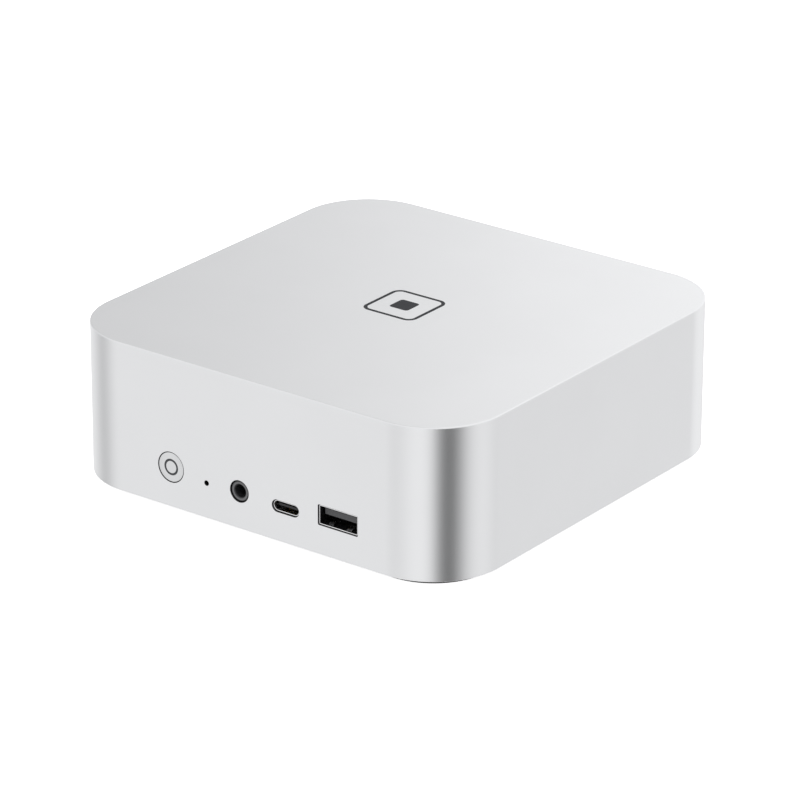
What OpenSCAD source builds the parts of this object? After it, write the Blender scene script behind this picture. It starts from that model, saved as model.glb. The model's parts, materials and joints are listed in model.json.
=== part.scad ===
// Small square desktop computer: an aluminium shell over a mainboard, a blower
// cooler, memory, solid-state drives, ports, a power button and a rubber foot.
// Front is -Y, up is +Z, and the origin is the middle of the foot's underside.

/* [Body] */
// Width and depth of the square body
body_w = 135; // [134:0.5:140]
// Height of the aluminium shell
shell_h = 44.6; // [44.2:0.2:50]
// Radius of the shell's upright corners
corner_r = 21.7; // [21:0.1:22.5]
// Thickness of the shell's sides and top
wall = 2.2; // [2:0.1:2.3]
// Height of the foot under the shell
foot_h = 2; // [1.5:0.1:3]
// Distance from the shell's side in to the foot
foot_inset = 3.6; // [3.5:0.1:5]
// Width of the foot's rubber ring
foot_w = 5; // [3:0.1:5]
// Thickness of the base cover
cover_t = 1.8; // [1.6:0.1:1.9]

/* [Front controls] */
// Power button's distance left of the middle
button_x = 27.6; // [26:0.1:30]
// Power button's diameter
button_d = 9; // [8:0.1:9.4]
// How far the power button travels
button_travel = 0.4; // [0.2:0.05:0.6]
// Reset pinhole's distance left of the middle
pinhole_x = 15.05; // [14:0.05:16]
// Reset pinhole's diameter
pinhole_d = 1.4; // [1:0.1:1.8]

/* [Front ports] */
// Headset socket's distance left of the middle
jack_x = 3.6; // [3:0.1:5]
// Bore of the headset socket
jack_bore_d = 3.6; // [3.5:0.05:3.8]
// Small reversible socket's distance right of the middle
usb_c_x = 12.3; // [11:0.1:14]
// Large flat socket's distance right of the middle
usb_a_x = 30.1; // [28:0.1:32]

/* [Cooling] */
// Number of the fan's blades
blade_count = 37; // [19:2:41]
// Radius of the fan's rotor
rotor_r = 35; // [34:0.5:36]
// Number of gaps between the cooling fins
fin_gaps = 43; // [20:1:50]
// Number of slots in the rear vent
vent_slots = 22; // [10:1:22]

/* [Hidden] */
$fn = 96;

// Colours
aluminium = [0.84, 0.85, 0.86];
steel = [0.68, 0.69, 0.71];
dark_plastic = [0.08, 0.08, 0.09];
rubber = [0.12, 0.12, 0.13];
board_green = [0.05, 0.19, 0.14];
chip_black = [0.06, 0.06, 0.07];
copper = [0.78, 0.46, 0.30];
brass = [0.80, 0.66, 0.36];
ink = [0.24, 0.25, 0.27];
plunger_white = [0.75, 0.75, 0.73];
lamp_white = [0.95, 0.95, 0.95];
filter_grey = [0.20, 0.20, 0.21];
laminate_green = [0.10, 0.22, 0.14];
ferrite_grey = [0.30, 0.30, 0.31];
lead_black = [0.12, 0.12, 0.12];
drive_blue = [0.04, 0.10, 0.13];
pad_grey = [0.55, 0.60, 0.66];
sleeve_blue = [0.12, 0.14, 0.30];
insert_grey = [0.35, 0.36, 0.38];

// Body: heights and half widths
eps = 0.5;
half = body_w / 2;
inner_half = half - wall;
inner_r = corner_r - wall;
rim_z = foot_h;
top_z = rim_z + shell_h;
ceiling_z = top_z - wall;
cover_gap = 0.3;
cover_top = rim_z + cover_t;
foot_half = half - foot_inset;
foot_r = corner_r - foot_inset;

// Screws: a small machine screw and its hole
screw_r = 0.98;
thread_r = 1;
clear_r = 1.2;
head_r = 2.4;
head_h = 1.1;
short_standoff_r = 2.2;
tall_standoff_r = 2.4;

// Columns inside the shell: four corner bosses and four side posts
boss_xy = 50.5;
boss_r = 3.6;
boss_corners = [for (sx = [-1, 1], sy = [-1, 1]) [sx * boss_xy, sy * boss_xy]];
post_x = 57.5;
post_y = 34;
post_r = 3;
post_spots = [for (sx = [-1, 1], sy = [-1, 1]) [sx * post_x, sy * post_y]];
rib_t = 3;
thread_depth = 7;

// Mainboard
board_t = 1.6;
board_top = rim_z + 8.4;
board_bottom = board_top - board_t;
board_half = 61;
board_r = 15.2;
boss_hole_r = 4.2;
part_x = 46;
part_row = [-22:8.8:22];

// Front features: heights of their centres
front_y = -half;
front_inner_y = -inner_half;
button_z = rim_z + 11.9;
pinhole_z = rim_z + 10.5;
jack_z = rim_z + 11.1;
usb_c_z = rim_z + 10.4;
usb_a_z = rim_z + 11.7;
usb_a_w = 13.3;
usb_a_h = 5.85;
usb_c_w = 9.15;
usb_c_h = 3.5;
jack_nose_r = 3;
jack_hole_r = 3.15;
sheet_t = 0.3;
seat_gap = 0.1;

// Power button and its switch
button_r = button_d / 2 - 0.18;
flange_r = button_d / 2 + 0.9;
flange_t = 1;
stem_r = 1.5;
button_face_y = front_y + 0.1;
flange_y = front_inner_y + 0.1;
plunger_tip_y = flange_y + flange_t + 1.6;
switch_y = plunger_tip_y + button_travel + 0.6;
plunger_grip = 1.5;
plunger_r = stem_r + 0.1;
light_outer_r = 2.4;
light_inner_r = 1.8;
light_t = 0.4;
led_x = -button_x + 4;
reset_plunger_r = 0.9;
reset_tip_y = front_inner_y + 1.3;
reset_body_y = reset_tip_y + 1.6;
run_gap = 0.05;
switch_half = 3;
switch_t = 4;
reset_half = 2.2;
reset_t = 3.4;
lamp = [1.6, 1, 0.8];

// Rear wall, its panel and the row of ports
rear_y = half;
rear_inner_y = inner_half;
panel_half = 45.6;
panel_low = rim_z + 4;
panel_high = rim_z + 41;
panel_r = 3;
panel_gap = 0.25;
panel_skin = 1.6;
panel_face_y = rear_y - 0.3;
panel_back_y = rear_inner_y - 1.1;
port_face_y = rear_y - 0.5;
port_back_y = port_face_y - 14;
port_gap = 1.6;
port_w = [14.4, 9.4, 16.5, 15, 16, 9];
port_start = -(port_w[0] + port_w[1] + port_w[2] + port_w[3] + port_w[4] + port_w[5] + 5 * port_gap) / 2;
function port_left(i) = i == 0 ? port_start : port_left(i - 1) + port_w[i - 1] + port_gap;
function port_x(i) = port_left(i) + port_w[i] / 2;
rear_usb_a_x = port_x(0);
rear_usb_c_x = port_x(1);
video_1_x = port_x(2);
video_2_x = port_x(3);
network_x = port_x(4);
inlet_x = port_x(5);
stack_h = 15.6;
stack_z = [board_top + 4, board_top + 11.6];
video_h = [6.3, 5.7];
network_h = 13.5;
inlet_h = 11;
inlet_z = board_top + 5.6;
vent_low = rim_z + 26.5;
vent_high = rim_z + 39;
vent_pitch = 3.6;
vent_w = 2.2;

// Sockets
usb_a_cavity = [12.5, 5.1];
usb_a_tongue = [11.1, 1.84];
usb_c_outer = [8.94, 3.26];
usb_c_tongue = [6.69, 0.7];
usb_c_block = [8.6, 3];
usb_a_drop = 0.1;
usb_a_back_y = front_y + 10.5;
usb_c_back_y = front_y + 8.5;
rear_usb_a_back_y = port_face_y - 12;
rear_usb_c_back_y = port_face_y - 8.5;
video_back_y = port_face_y - 10;
network_back_y = port_face_y - 11.5;
inlet_back_y = port_face_y - 9.5;
inlet_bore_r = 3.2;
inlet_pin_r = 1.25;

// Cooler: processor, cold plate, pipes, fins
cpu_y = -4;
package_half = [17.5, 12.5];
package_t = 1.2;
die_half = [10, 7.5];
plate_low = board_top + 2;
plate_high = plate_low + 2;
plate_half = 38;
plate_front = -34;
plate_back = 26;
cooler_spots = [for (sx = [-1, 1], y = [-30, 22]) [sx * 34, y]];
pipe_w = 8;
pipe_t = 2.6;
pipe_xs = [-22, 0, 22];
fin_low = rim_z + 27.4;
fin_high = rim_z + 40.6;
fin_half = 43.5;
fin_t = 0.4;
fin_front = 48;
fin_back = 62.4;

// Blower
fan_low = rim_z + 25;
fan_skin = 1.2;
fan_floor = fan_low + fan_skin;
fan_roof = rim_z + 39.7;
fan_top = fan_roof + 0.8;
fan_half = 44;
fan_front = -46;
fan_back = 38;
spout_back = 47.6;
spout_low = rim_z + 28;
fan_cavity_r = 38;
fan_y = -4;
intake_r = 27;
motor_seat_r = 11.5;
fan_spots = [for (sx = [-1, 1], y = [-42, 30]) [sx * 41, y]];
shaft_r = 1.25;
hub_r = 13;
blade_low = fan_floor + 1.2;
disc_low = fan_roof - 2.3;
disc_high = fan_roof - 1.1;
blade_sweep = 35;

// Underside: memory, drives, wireless card
memory_y = [-36, -1];
socket_half = 36.9;
module_half = 34.8;
module_low = board_bottom - 2.7;
module_t = 1;
module_w = 30;
module_edge = 2.5;
drive_y = [-48.5, 45.5];
card_w = 22;
card_low = board_bottom - 2.2;
card_t = 0.8;
card_hole_r = 1.75;
chip_t = 1.3;
pad_t = 0.7;
spreader_t = 0.4;
drive_chips = [[-28, -14], [-10, 8], [12, 30]];
drive_left = -41;
drive_right = 39;
drive_socket_left = -44.5;
drive_socket_right = -38;
wireless_x = 49;
wireless_back = 15;
wireless_front = -15.5;
card_screw_spots = [[drive_right, drive_y[0]], [drive_right, drive_y[1]], [wireless_x, wireless_back]];
battery_spot = [-48.8, 4];
battery_r = 10.2;
battery_t = 3.5;
antenna_x = 48;
antenna_half = 4;
antenna_t = 0.6;
antenna_low = cover_top;
filter_half_x = 37;
filter_half_y = 32;
filter_t = 0.3;
filter_r = 3;
intake_columns = [-28, -14, 0, 14, 28];
intake_rows = 14;
intake_pitch = 4;
intake_slot = [12, 2];

// Emblem: a plain rounded square inside a rounded frame
emblem_spot = [0.5, 1.5];
emblem_half = 9;
emblem_r = 3;
emblem_line = 1.1;
emblem_core_half = 3.2;
emblem_core_r = 1;
emblem_depth = 0.3;

// Leads: radii, and places along each one's route, from the rim up
lead_sides = 8;
fan_cable_r = 0.9;
antenna_lead_r = 0.4;
battery_lead_r = 0.5;
antenna_route_left = [
    [42, 13, 4.2], [41, 18, 3.4], [39.5, 26, 3.4], [38, 32, 4], [34, 33.5, 4], [10, 33.5, 4], [-20, 33.5, 4],
    [-36, 33.5, 4], [-40, 31, 3.6], [-42, 24, 3], [-44, 14, 2.8], [-46, 8, 2.8], [-47, 4, 2.8]
];
antenna_route_right = [[56, 12, 4.2], [58, 15, 3.6], [60, 12, 3.2], [59, 7, 2.9], [53, 4, 2.8], [50, 2, 2.8]];
battery_route = [[-50, -6.6, 5], [-50, -9, 5], [-49, -12, 5.2], [-48.5, -14.5, 5.2]];
fan_route = [
    [-40, -46.8, 27], [-41, -48.5, 25.5], [-42.5, -49.5, 22], [-44, -49.5, 17], [-45, -48, 13],
    [-45.5, -45, 10.5], [-46, -41, 9.6]
];

module box(x, y, z) {
    translate([x[0], y[0], z[0]])
        cube([x[1] - x[0], y[1] - y[0], z[1] - z[0]]);
}

module column(spot, z, r) {
    translate([spot[0], spot[1], z[0]])
        cylinder(h = z[1] - z[0], r = r);
}

// A rod along Y, centred on x and z
module rod(x, z, y, r) {
    translate([x, y[0], z])
        rotate([-90, 0, 0])
            cylinder(h = y[1] - y[0], r = r);
}

module rounded(half_x, half_y, r) {
    square([2 * (half_x - r), 2 * half_y], center = true);
    square([2 * half_x, 2 * (half_y - r)], center = true);
    for (sx = [-1, 1], sy = [-1, 1])
        translate([sx * (half_x - r), sy * (half_y - r)])
            circle(r);
}

module slab(half_x, half_y, r, z) {
    translate([0, 0, z[0]])
        linear_extrude(z[1] - z[0])
            rounded(half_x, half_y, r);
}

// A slot with round ends, lying along X
module slot(size) {
    straight = size[0] - size[1];
    square([straight, size[1]], center = true);
    for (s = [-1, 1])
        translate([s * straight / 2, 0])
            circle(size[1] / 2, $fn = 24);
}

// An outline in X and Z, extruded along Y
module wall_prism(x, z, y) {
    translate([x, y[1], z])
        rotate([90, 0, 0])
            linear_extrude(y[1] - y[0])
                children();
}

function unit(v) = v / norm(v);
function heading(p, i) = unit(p[min(i + 1, len(p) - 1)] - p[max(i - 1, 0)]);
function lead_ring(c, t, r, across) =
    let (u = unit(cross(t, across)), v = cross(t, u))
        [for (k = [0:lead_sides - 1]) let (a = 360 * k / lead_sides) c + r * (cos(a) * u + sin(a) * v)];

// A lead swept along its route; across is any direction that the route never takes
module lead(route, r, across = [0, 0, 1]) {
    last = len(route) - 1;
    n = lead_sides;
    translate([0, 0, rim_z])
        polyhedron(
            points = [for (i = [0:last]) each lead_ring(route[i], heading(route, i), r, across)],
            faces = concat(
                [[for (k = [0:n - 1]) k]],
                [for (i = [0:last - 1], k = [0:n - 1])
                    [i * n + k, (i + 1) * n + k, (i + 1) * n + (k + 1) % n]],
                [for (i = [0:last - 1], k = [0:n - 1])
                    [i * n + k, (i + 1) * n + (k + 1) % n, i * n + (k + 1) % n]],
                [[for (k = [n - 1:-1:0]) last * n + k]]
            )
        );
}

module screw(spot, head_z, tip_z, r = head_r) {
    column(spot, [min(head_z), max(head_z)], r);
    column(spot, [min(head_z[0], tip_z), max(head_z[0], tip_z)], screw_r);
}

module emblem_outline() {
    difference() {
        rounded(emblem_half, emblem_half, emblem_r);
        rounded(emblem_half - emblem_line, emblem_half - emblem_line, emblem_r - emblem_line);
    }
    rounded(emblem_core_half, emblem_core_half, emblem_core_r);
}

module shell_columns() {
    for (spot = boss_corners) {
        column(spot, [cover_top, ceiling_z + eps], boss_r);
        rotate([0, 0, atan2(spot[1], spot[0])])
            box([norm(spot), sqrt(2) * (half - corner_r) + inner_r + eps], [-rib_t / 2, rib_t / 2],
                [board_top + 2, ceiling_z + eps]);
    }
    for (spot = post_spots) {
        column(spot, [board_top, ceiling_z + eps], post_r);
        side = sign(spot[0]);
        box([min(spot[0], side * (inner_half + eps)), max(spot[0], side * (inner_half + eps))],
            [spot[1] - rib_t / 2, spot[1] + rib_t / 2], [board_top, ceiling_z + eps]);
    }
}

module top_shell() {
    color(aluminium)
        difference() {
            union() {
                difference() {
                    slab(half, half, corner_r, [rim_z, top_z]);
                    slab(inner_half, inner_half, inner_r, [rim_z - eps, ceiling_z]);
                }
                shell_columns();
            }
            for (spot = boss_corners)
                column(spot, [rim_z, cover_top + thread_depth], thread_r);
            for (spot = post_spots)
                column(spot, [rim_z, board_top + thread_depth], thread_r);
            wall_prism(0, (panel_low + panel_high) / 2, [rear_inner_y - eps, rear_y + eps])
                rounded(panel_half, (panel_high - panel_low) / 2, panel_r);
            rod(-button_x, button_z, [front_y - eps, front_inner_y + eps], button_d / 2);
            rod(-pinhole_x, pinhole_z, [front_y - eps, front_inner_y + eps], pinhole_d / 2);
            rod(-jack_x, jack_z, [front_y - eps, front_inner_y + eps], jack_hole_r);
            wall_prism(usb_c_x, usb_c_z, [front_y - eps, front_inner_y + eps])
                slot([usb_c_w, usb_c_h]);
            wall_prism(usb_a_x, usb_a_z, [front_y - eps, front_inner_y + eps])
                square([usb_a_w, usb_a_h], center = true);
            translate([emblem_spot[0], emblem_spot[1], top_z - emblem_depth])
                linear_extrude(emblem_depth + eps)
                    emblem_outline();
        }
}

module top_emblem() {
    color(ink)
        translate([emblem_spot[0], emblem_spot[1], top_z - emblem_depth])
            linear_extrude(emblem_depth)
                emblem_outline();
}

module base_cover() {
    first_row = -(intake_rows - 1) * intake_pitch / 2;
    color(dark_plastic)
        difference() {
            slab(inner_half - cover_gap, inner_half - cover_gap, inner_r - cover_gap, [rim_z, cover_top]);
            translate([0, 0, rim_z - eps])
                linear_extrude(cover_t + 2 * eps)
                    for (x = intake_columns, i = [0:intake_rows - 1])
                        translate([x, first_row + i * intake_pitch])
                            slot(intake_slot);
            for (spot = boss_corners) {
                column(spot, [rim_z - eps, cover_top + eps], clear_r);
                column(spot, [rim_z - eps, rim_z + head_h + seat_gap], head_r + seat_gap);
            }
        }
}

module base_cover_screws() {
    color(steel)
        for (spot = boss_corners)
            screw(spot, [rim_z + head_h + seat_gap, rim_z + seat_gap], cover_top + thread_depth - 1);
}

module foot_ring() {
    color(rubber)
        difference() {
            slab(foot_half, foot_half, foot_r, [0, rim_z]);
            slab(foot_half - foot_w, foot_half - foot_w, foot_r - foot_w, [-eps, rim_z + eps]);
        }
}

module dust_filter() {
    color(filter_grey)
        slab(filter_half_x, filter_half_y, filter_r, [cover_top, cover_top + filter_t]);
}

// Outline of the row of ports, each one a little larger than the port
module port_outline(grow) {
    translate([rear_usb_a_x, board_top + stack_h / 2])
        square([port_w[0] + 2 * grow, stack_h + 2 * grow], center = true);
    translate([rear_usb_c_x, board_top + usb_c_outer[1] / 2])
        slot([usb_c_outer[0] + 2 * grow, usb_c_outer[1] + 2 * grow]);
    translate([video_1_x, board_top + video_h[0] / 2])
        square([port_w[2] + 2 * grow, video_h[0] + 2 * grow], center = true);
    translate([video_2_x, board_top + video_h[1] / 2])
        square([port_w[3] + 2 * grow, video_h[1] + 2 * grow], center = true);
    translate([network_x, board_top + network_h / 2])
        square([port_w[4] + 2 * grow, network_h + 2 * grow], center = true);
    translate([inlet_x, board_top + inlet_h / 2])
        square([port_w[5] + 2 * grow, inlet_h + 2 * grow], center = true);
}

module rear_panel() {
    mid_z = (panel_low + panel_high) / 2;
    half_z = (panel_high - panel_low) / 2;
    rim_w = 1.6;
    port_grow = 0.15;
    lip_in = 0.4;
    lip_down = 1.4;
    lip_up = 1;
    color(dark_plastic)
        difference() {
            union() {
                wall_prism(0, mid_z, [rear_inner_y - eps, panel_face_y])
                    rounded(panel_half - panel_gap, half_z - panel_gap, panel_r - panel_gap);
                box([lip_in - panel_half, panel_half - lip_in], [panel_back_y, rear_inner_y],
                    [panel_low - lip_down, panel_high + lip_up]);
            }
            box([-panel_half + rim_w, panel_half - rim_w], [panel_back_y - eps, panel_face_y - panel_skin],
                [panel_low + rim_w, panel_high - rim_w]);
            wall_prism(0, 0, [panel_back_y - eps, panel_face_y + eps])
                port_outline(port_grow);
            for (i = [0:vent_slots - 1])
                wall_prism((i - (vent_slots - 1) / 2) * vent_pitch, (vent_low + vent_high) / 2,
                    [panel_back_y - eps, panel_face_y + eps])
                    rotate([0, 0, 90])
                        slot([vent_high - vent_low, vent_w]);
        }
}

module mainboard() {
    color(board_green)
        difference() {
            slab(board_half, board_half, board_r, [board_bottom, board_top]);
            for (spot = boss_corners)
                column(spot, [board_bottom - eps, board_top + eps], boss_hole_r);
            for (spot = post_spots)
                column(spot, [board_bottom - eps, board_top + eps], clear_r);
        }
}

module mainboard_screws() {
    color(steel)
        for (spot = post_spots)
            screw(spot, [board_bottom, board_bottom - head_h], board_top + thread_depth - 1, head_r - 0.2);
}

module standoff(spot, z, r) {
    difference() {
        column(spot, z, r);
        column(spot, [z[0] - eps, z[1] + eps], thread_r);
    }
}

module board_standoffs() {
    color(brass) {
        for (spot = cooler_spots)
            standoff(spot, [board_top, plate_low], short_standoff_r);
        for (spot = fan_spots)
            standoff(spot, [board_top, fan_low], tall_standoff_r);
        for (spot = card_screw_spots)
            standoff(spot, [card_low + card_t, board_bottom], short_standoff_r);
    }
}

module processor() {
    color(laminate_green) {
        box([-package_half[0], package_half[0]], [cpu_y - package_half[1], cpu_y + package_half[1]],
            [board_top, board_top + package_t]);
        box([-die_half[0], die_half[0]], [cpu_y - die_half[1], cpu_y + die_half[1]],
            [board_top + package_t, plate_low]);
    }
}

module power_inductors() {
    choke = [6.5, 6.5, 5];
    color(ferrite_grey)
        for (y = part_row)
            box([-part_x - choke[0] / 2, -part_x + choke[0] / 2], [y - choke[1] / 2, y + choke[1] / 2],
                [board_top, board_top + choke[2]]);
}

module bulk_capacitors() {
    can_r = 3.15;
    can_h = 6;
    color(steel)
        for (y = part_row)
            column([part_x, y], [board_top, board_top + can_h], can_r);
}

module cooler_base() {
    color(copper)
        difference() {
            box([-plate_half, plate_half], [plate_front, plate_back], [plate_low, plate_high]);
            for (spot = cooler_spots)
                column(spot, [plate_low - eps, plate_high + eps], clear_r);
        }
}

module cooler_screws() {
    color(steel)
        for (spot = cooler_spots)
            screw(spot, [plate_high, plate_high + head_h], board_top + 0.2, head_r);
}

// A flat pipe: level on the cold plate, up a slope, level again under the fins
module pipe_outline() {
    low_z = plate_high;
    high_z = fin_low - pipe_t;
    front = -30;
    bend = [24, 46];
    shift = pipe_t / 2 * tan(atan2(high_z - low_z, bend[1] - bend[0]) / 2);
    polygon([
        [front, low_z], [bend[0] + shift, low_z], [bend[1] + shift, high_z], [fin_back - eps, high_z],
        [fin_back - eps, high_z + pipe_t], [bend[1] - shift, high_z + pipe_t],
        [bend[0] - shift, low_z + pipe_t], [front, low_z + pipe_t]
    ]);
}

module heat_pipes() {
    color(copper)
        for (x = pipe_xs)
            translate([x - pipe_w / 2, 0, 0])
                rotate([90, 0, 90])
                    linear_extrude(pipe_w)
                        pipe_outline();
}

module fin_stack() {
    pitch = (2 * fin_half - fin_t) / fin_gaps;
    base_t = 1;
    roof_t = 0.6;
    color(steel)
        difference() {
            box([-fin_half, fin_half], [fin_front, fin_back], [fin_low, fin_high]);
            for (i = [0:fin_gaps - 1])
                box([-fin_half + fin_t + i * pitch, -fin_half + (i + 1) * pitch],
                    [fin_front - eps, fin_back + eps], [fin_low + base_t, fin_high - roof_t]);
        }
}

module fan_floor_opening() {
    difference() {
        circle(intake_r);
        circle(motor_seat_r);
        for (a = [90, 210, 330])
            rotate(a)
                translate([0, -rib_t / 2])
                    square([intake_r + eps, rib_t]);
    }
}

module fan_housing() {
    color(dark_plastic)
        difference() {
            union() {
                box([-fan_half, fan_half], [fan_front, fan_back], [fan_low, fan_roof]);
                box([-fan_half, fan_half], [fan_back - eps, spout_back], [spout_low, fan_roof]);
            }
            column([0, fan_y], [fan_floor, fan_roof + eps], fan_cavity_r);
            box([-fan_cavity_r, fan_cavity_r], [fan_y, fan_back - fan_skin], [fan_floor, fan_roof + eps]);
            box([-fan_cavity_r, fan_cavity_r], [fan_y, spout_back + eps],
                [spout_low + fan_skin, fan_roof + eps]);
            translate([0, fan_y, fan_low - eps])
                linear_extrude(fan_floor - fan_low + 2 * eps)
                    fan_floor_opening();
            for (spot = fan_spots)
                column(spot, [fan_low - eps, fan_roof + eps], clear_r);
        }
}

module fan_cover() {
    color(dark_plastic)
        difference() {
            box([-fan_half, fan_half], [fan_front, spout_back], [fan_roof, fan_top]);
            for (spot = fan_spots)
                column(spot, [fan_roof - eps, fan_top + eps], clear_r);
        }
}

// Stator: a sleeve with nine wound teeth
module fan_motor() {
    teeth = 9;
    tooth = [5.8, 2.2];
    sleeve_r = 5;
    stack_t = 9.8;
    color(copper)
        translate([0, fan_y, fan_floor])
            difference() {
                linear_extrude(stack_t)
                    union() {
                        circle(sleeve_r);
                        for (i = [0:teeth - 1])
                            rotate(i * 360 / teeth)
                                translate([sleeve_r - 1, -tooth[1] / 2])
                                    square(tooth);
                    }
                translate([0, 0, -eps])
                    cylinder(h = stack_t + 2 * eps, r = shaft_r + run_gap);
            }
}

module fan_impeller() {
    cup_wall = 2;
    blade = [14.5, 0.6];
    blade_spread = 13;
    join = 0.1;
    color(dark_plastic)
        translate([0, fan_y, 0])
            union() {
                translate([0, 0, disc_low])
                    cylinder(h = disc_high - disc_low, r = rotor_r);
                difference() {
                    translate([0, 0, blade_low])
                        cylinder(h = disc_low - blade_low + join, r = hub_r);
                    translate([0, 0, blade_low - eps])
                        cylinder(h = disc_low - blade_low + eps, r = hub_r - cup_wall);
                }
                for (i = [0:blade_count - 1])
                    rotate([0, 0, i * 360 / blade_count])
                        translate([rotor_r - blade_spread, 0, blade_low])
                            rotate([0, 0, blade_sweep])
                                cube([blade[0], blade[1], disc_low - blade_low + join]);
            }
}

module fan_shaft() {
    color(steel)
        column([0, fan_y], [fan_floor + 0.3, disc_low], shaft_r);
}

module fan_screws() {
    color(steel)
        for (spot = fan_spots)
            screw(spot, [fan_top, fan_top + head_h], fan_low - 4, head_r);
}

module fan_cable() {
    color(lead_black)
        lead(fan_route, fan_cable_r, [1, 0, 0]);
}

// Memory socket on the board's underside: a slotted bar and two latch arms
module memory_socket(y) {
    low = board_bottom - 4;
    bar = 5.5;
    arm = 1.7;
    arm_back = 33;
    color(dark_plastic)
        difference() {
            union() {
                box([-socket_half, socket_half], [y, y + bar], [low, board_bottom]);
                for (s = [-1, 1])
                    translate([s * (socket_half - arm / 2), 0, 0])
                        box([-arm / 2, arm / 2], [y + bar - eps, y + arm_back], [low + 0.7, board_bottom]);
            }
            box([-module_half, module_half], [y + module_edge, y + bar + eps],
                [module_low, module_low + module_t]);
        }
}

module memory_module(y) {
    chips = 4;
    chip = [12, 10, 1.2];
    chip_pitch = 16.5;
    chip_y = 20;
    color(chip_black)
        union() {
            box([-module_half, module_half], [y + module_edge, y + module_edge + module_w],
                [module_low, module_low + module_t]);
            for (i = [0:chips - 1])
                translate([(i - (chips - 1) / 2) * chip_pitch, y + chip_y, module_low - 1])
                    translate([-chip[0] / 2, -chip[1] / 2, 0])
                        cube(chip);
        }
}

module memory_socket_1() { memory_socket(memory_y[0]); }
module memory_socket_2() { memory_socket(memory_y[1]); }
module memory_module_1() { memory_module(memory_y[0]); }
module memory_module_2() { memory_module(memory_y[1]); }

module ssd_socket(y) {
    color(dark_plastic)
        difference() {
            box([drive_socket_left, drive_socket_right], [y - card_w / 2, y + card_w / 2],
                [card_low - 0.6, board_bottom]);
            box([drive_left, drive_socket_right + eps], [y - card_w / 2 - eps, y + card_w / 2 + eps],
                [card_low, card_low + card_t]);
        }
}

module ssd(y) {
    chip_low = card_low - chip_t;
    color(drive_blue)
        difference() {
            union() {
                box([drive_left, drive_right], [y - card_w / 2, y + card_w / 2],
                    [card_low, card_low + card_t]);
                for (span = drive_chips)
                    box(span, [y - 7, y + 7], [chip_low, card_low + 0.1]);
            }
            column([drive_right, y], [card_low - eps, card_low + card_t + eps], card_hole_r);
        }
}

module ssd_socket_1() { ssd_socket(drive_y[0]); }
module ssd_socket_2() { ssd_socket(drive_y[1]); }
module ssd_1() { ssd(drive_y[0]); }
module ssd_2() { ssd(drive_y[1]); }

module ssd_pads() {
    color(pad_grey)
        for (y = drive_y)
            box([-30, 32], [y - 9, y + 9], [card_low - chip_t - pad_t, card_low - chip_t]);
}

module ssd_spreaders() {
    color(aluminium)
        for (y = drive_y)
            box([-32, 34], [y - 10, y + 10],
                [card_low - chip_t - pad_t - spreader_t, card_low - chip_t - pad_t]);
}

module card_screws() {
    color(steel)
        for (spot = card_screw_spots)
            screw(spot, [card_low, card_low - 0.9], board_bottom - 0.2, head_r);
}

module wireless_socket() {
    color(dark_plastic)
        difference() {
            box([wireless_x - card_w / 2, wireless_x + card_w / 2],
                [wireless_front - 3.5, wireless_front + 3], [card_low - 0.6, board_bottom]);
            box([wireless_x - card_w / 2 - eps, wireless_x + card_w / 2 + eps],
                [wireless_front, wireless_front + 3 + eps], [card_low, card_low + card_t]);
        }
}

module wireless_card() {
    color(laminate_green)
        difference() {
            union() {
                box([wireless_x - card_w / 2, wireless_x + card_w / 2], [wireless_front, wireless_back],
                    [card_low, card_low + card_t]);
                box([wireless_x - 9, wireless_x + 9], [-10, 9], [card_low - chip_t, card_low + 0.1]);
            }
            column([wireless_x, wireless_back], [card_low - eps, card_low + card_t + eps], card_hole_r);
        }
}

module antenna(x) {
    color(lead_black)
        box([x - antenna_half, x + antenna_half], [-28, 7], [antenna_low, antenna_low + antenna_t]);
}

module antenna_left() { antenna(-antenna_x); }
module antenna_right() { antenna(antenna_x); }

module antenna_leads() {
    color(lead_black) {
        lead(antenna_route_left, antenna_lead_r);
        lead(antenna_route_right, antenna_lead_r);
    }
}

// Coin cell stuck to the board, with its lead and the plug's header
module clock_battery() {
    color(sleeve_blue) {
        column(battery_spot, [board_bottom - battery_t, board_bottom], battery_r);
        lead(battery_route, battery_lead_r);
        box([-51, -46], [-17.5, -14.5], [board_bottom - 3, board_bottom]);
    }
}

// Steel sleeve of a large flat socket, open at both ends
module usb_a_sleeve(x, z, y) {
    wall_prism(x, z, y)
        difference() {
            square([usb_a_cavity[0] + 2 * sheet_t, usb_a_cavity[1] + 2 * sheet_t], center = true);
            square(usb_a_cavity, center = true);
        }
}

module front_usb_a_shell() {
    color(steel)
        usb_a_sleeve(usb_a_x, usb_a_z, [front_y + 0.3, usb_a_back_y]);
}

module front_usb_a_tongue() {
    block_half = 6.4;
    color(insert_grey)
        union() {
            box([usb_a_x - block_half, usb_a_x + block_half], [usb_a_back_y, usb_a_back_y + 3.5],
                [board_top, usb_a_z + 2.6]);
            box([usb_a_x - usb_a_tongue[0] / 2, usb_a_x + usb_a_tongue[0] / 2],
                [front_y + 1.6, usb_a_back_y + eps],
                [usb_a_z - usb_a_drop, usb_a_z - usb_a_drop + usb_a_tongue[1]]);
        }
}

module usb_c_sleeve(x, z, y) {
    wall_prism(x, z, y)
        difference() {
            slot(usb_c_outer);
            slot([usb_c_outer[0] - 2 * sheet_t, usb_c_outer[1] - 2 * sheet_t]);
        }
}

module front_usb_c_shell() {
    color(steel)
        usb_c_sleeve(usb_c_x, usb_c_z, [front_y + 0.4, usb_c_back_y]);
}

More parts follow.
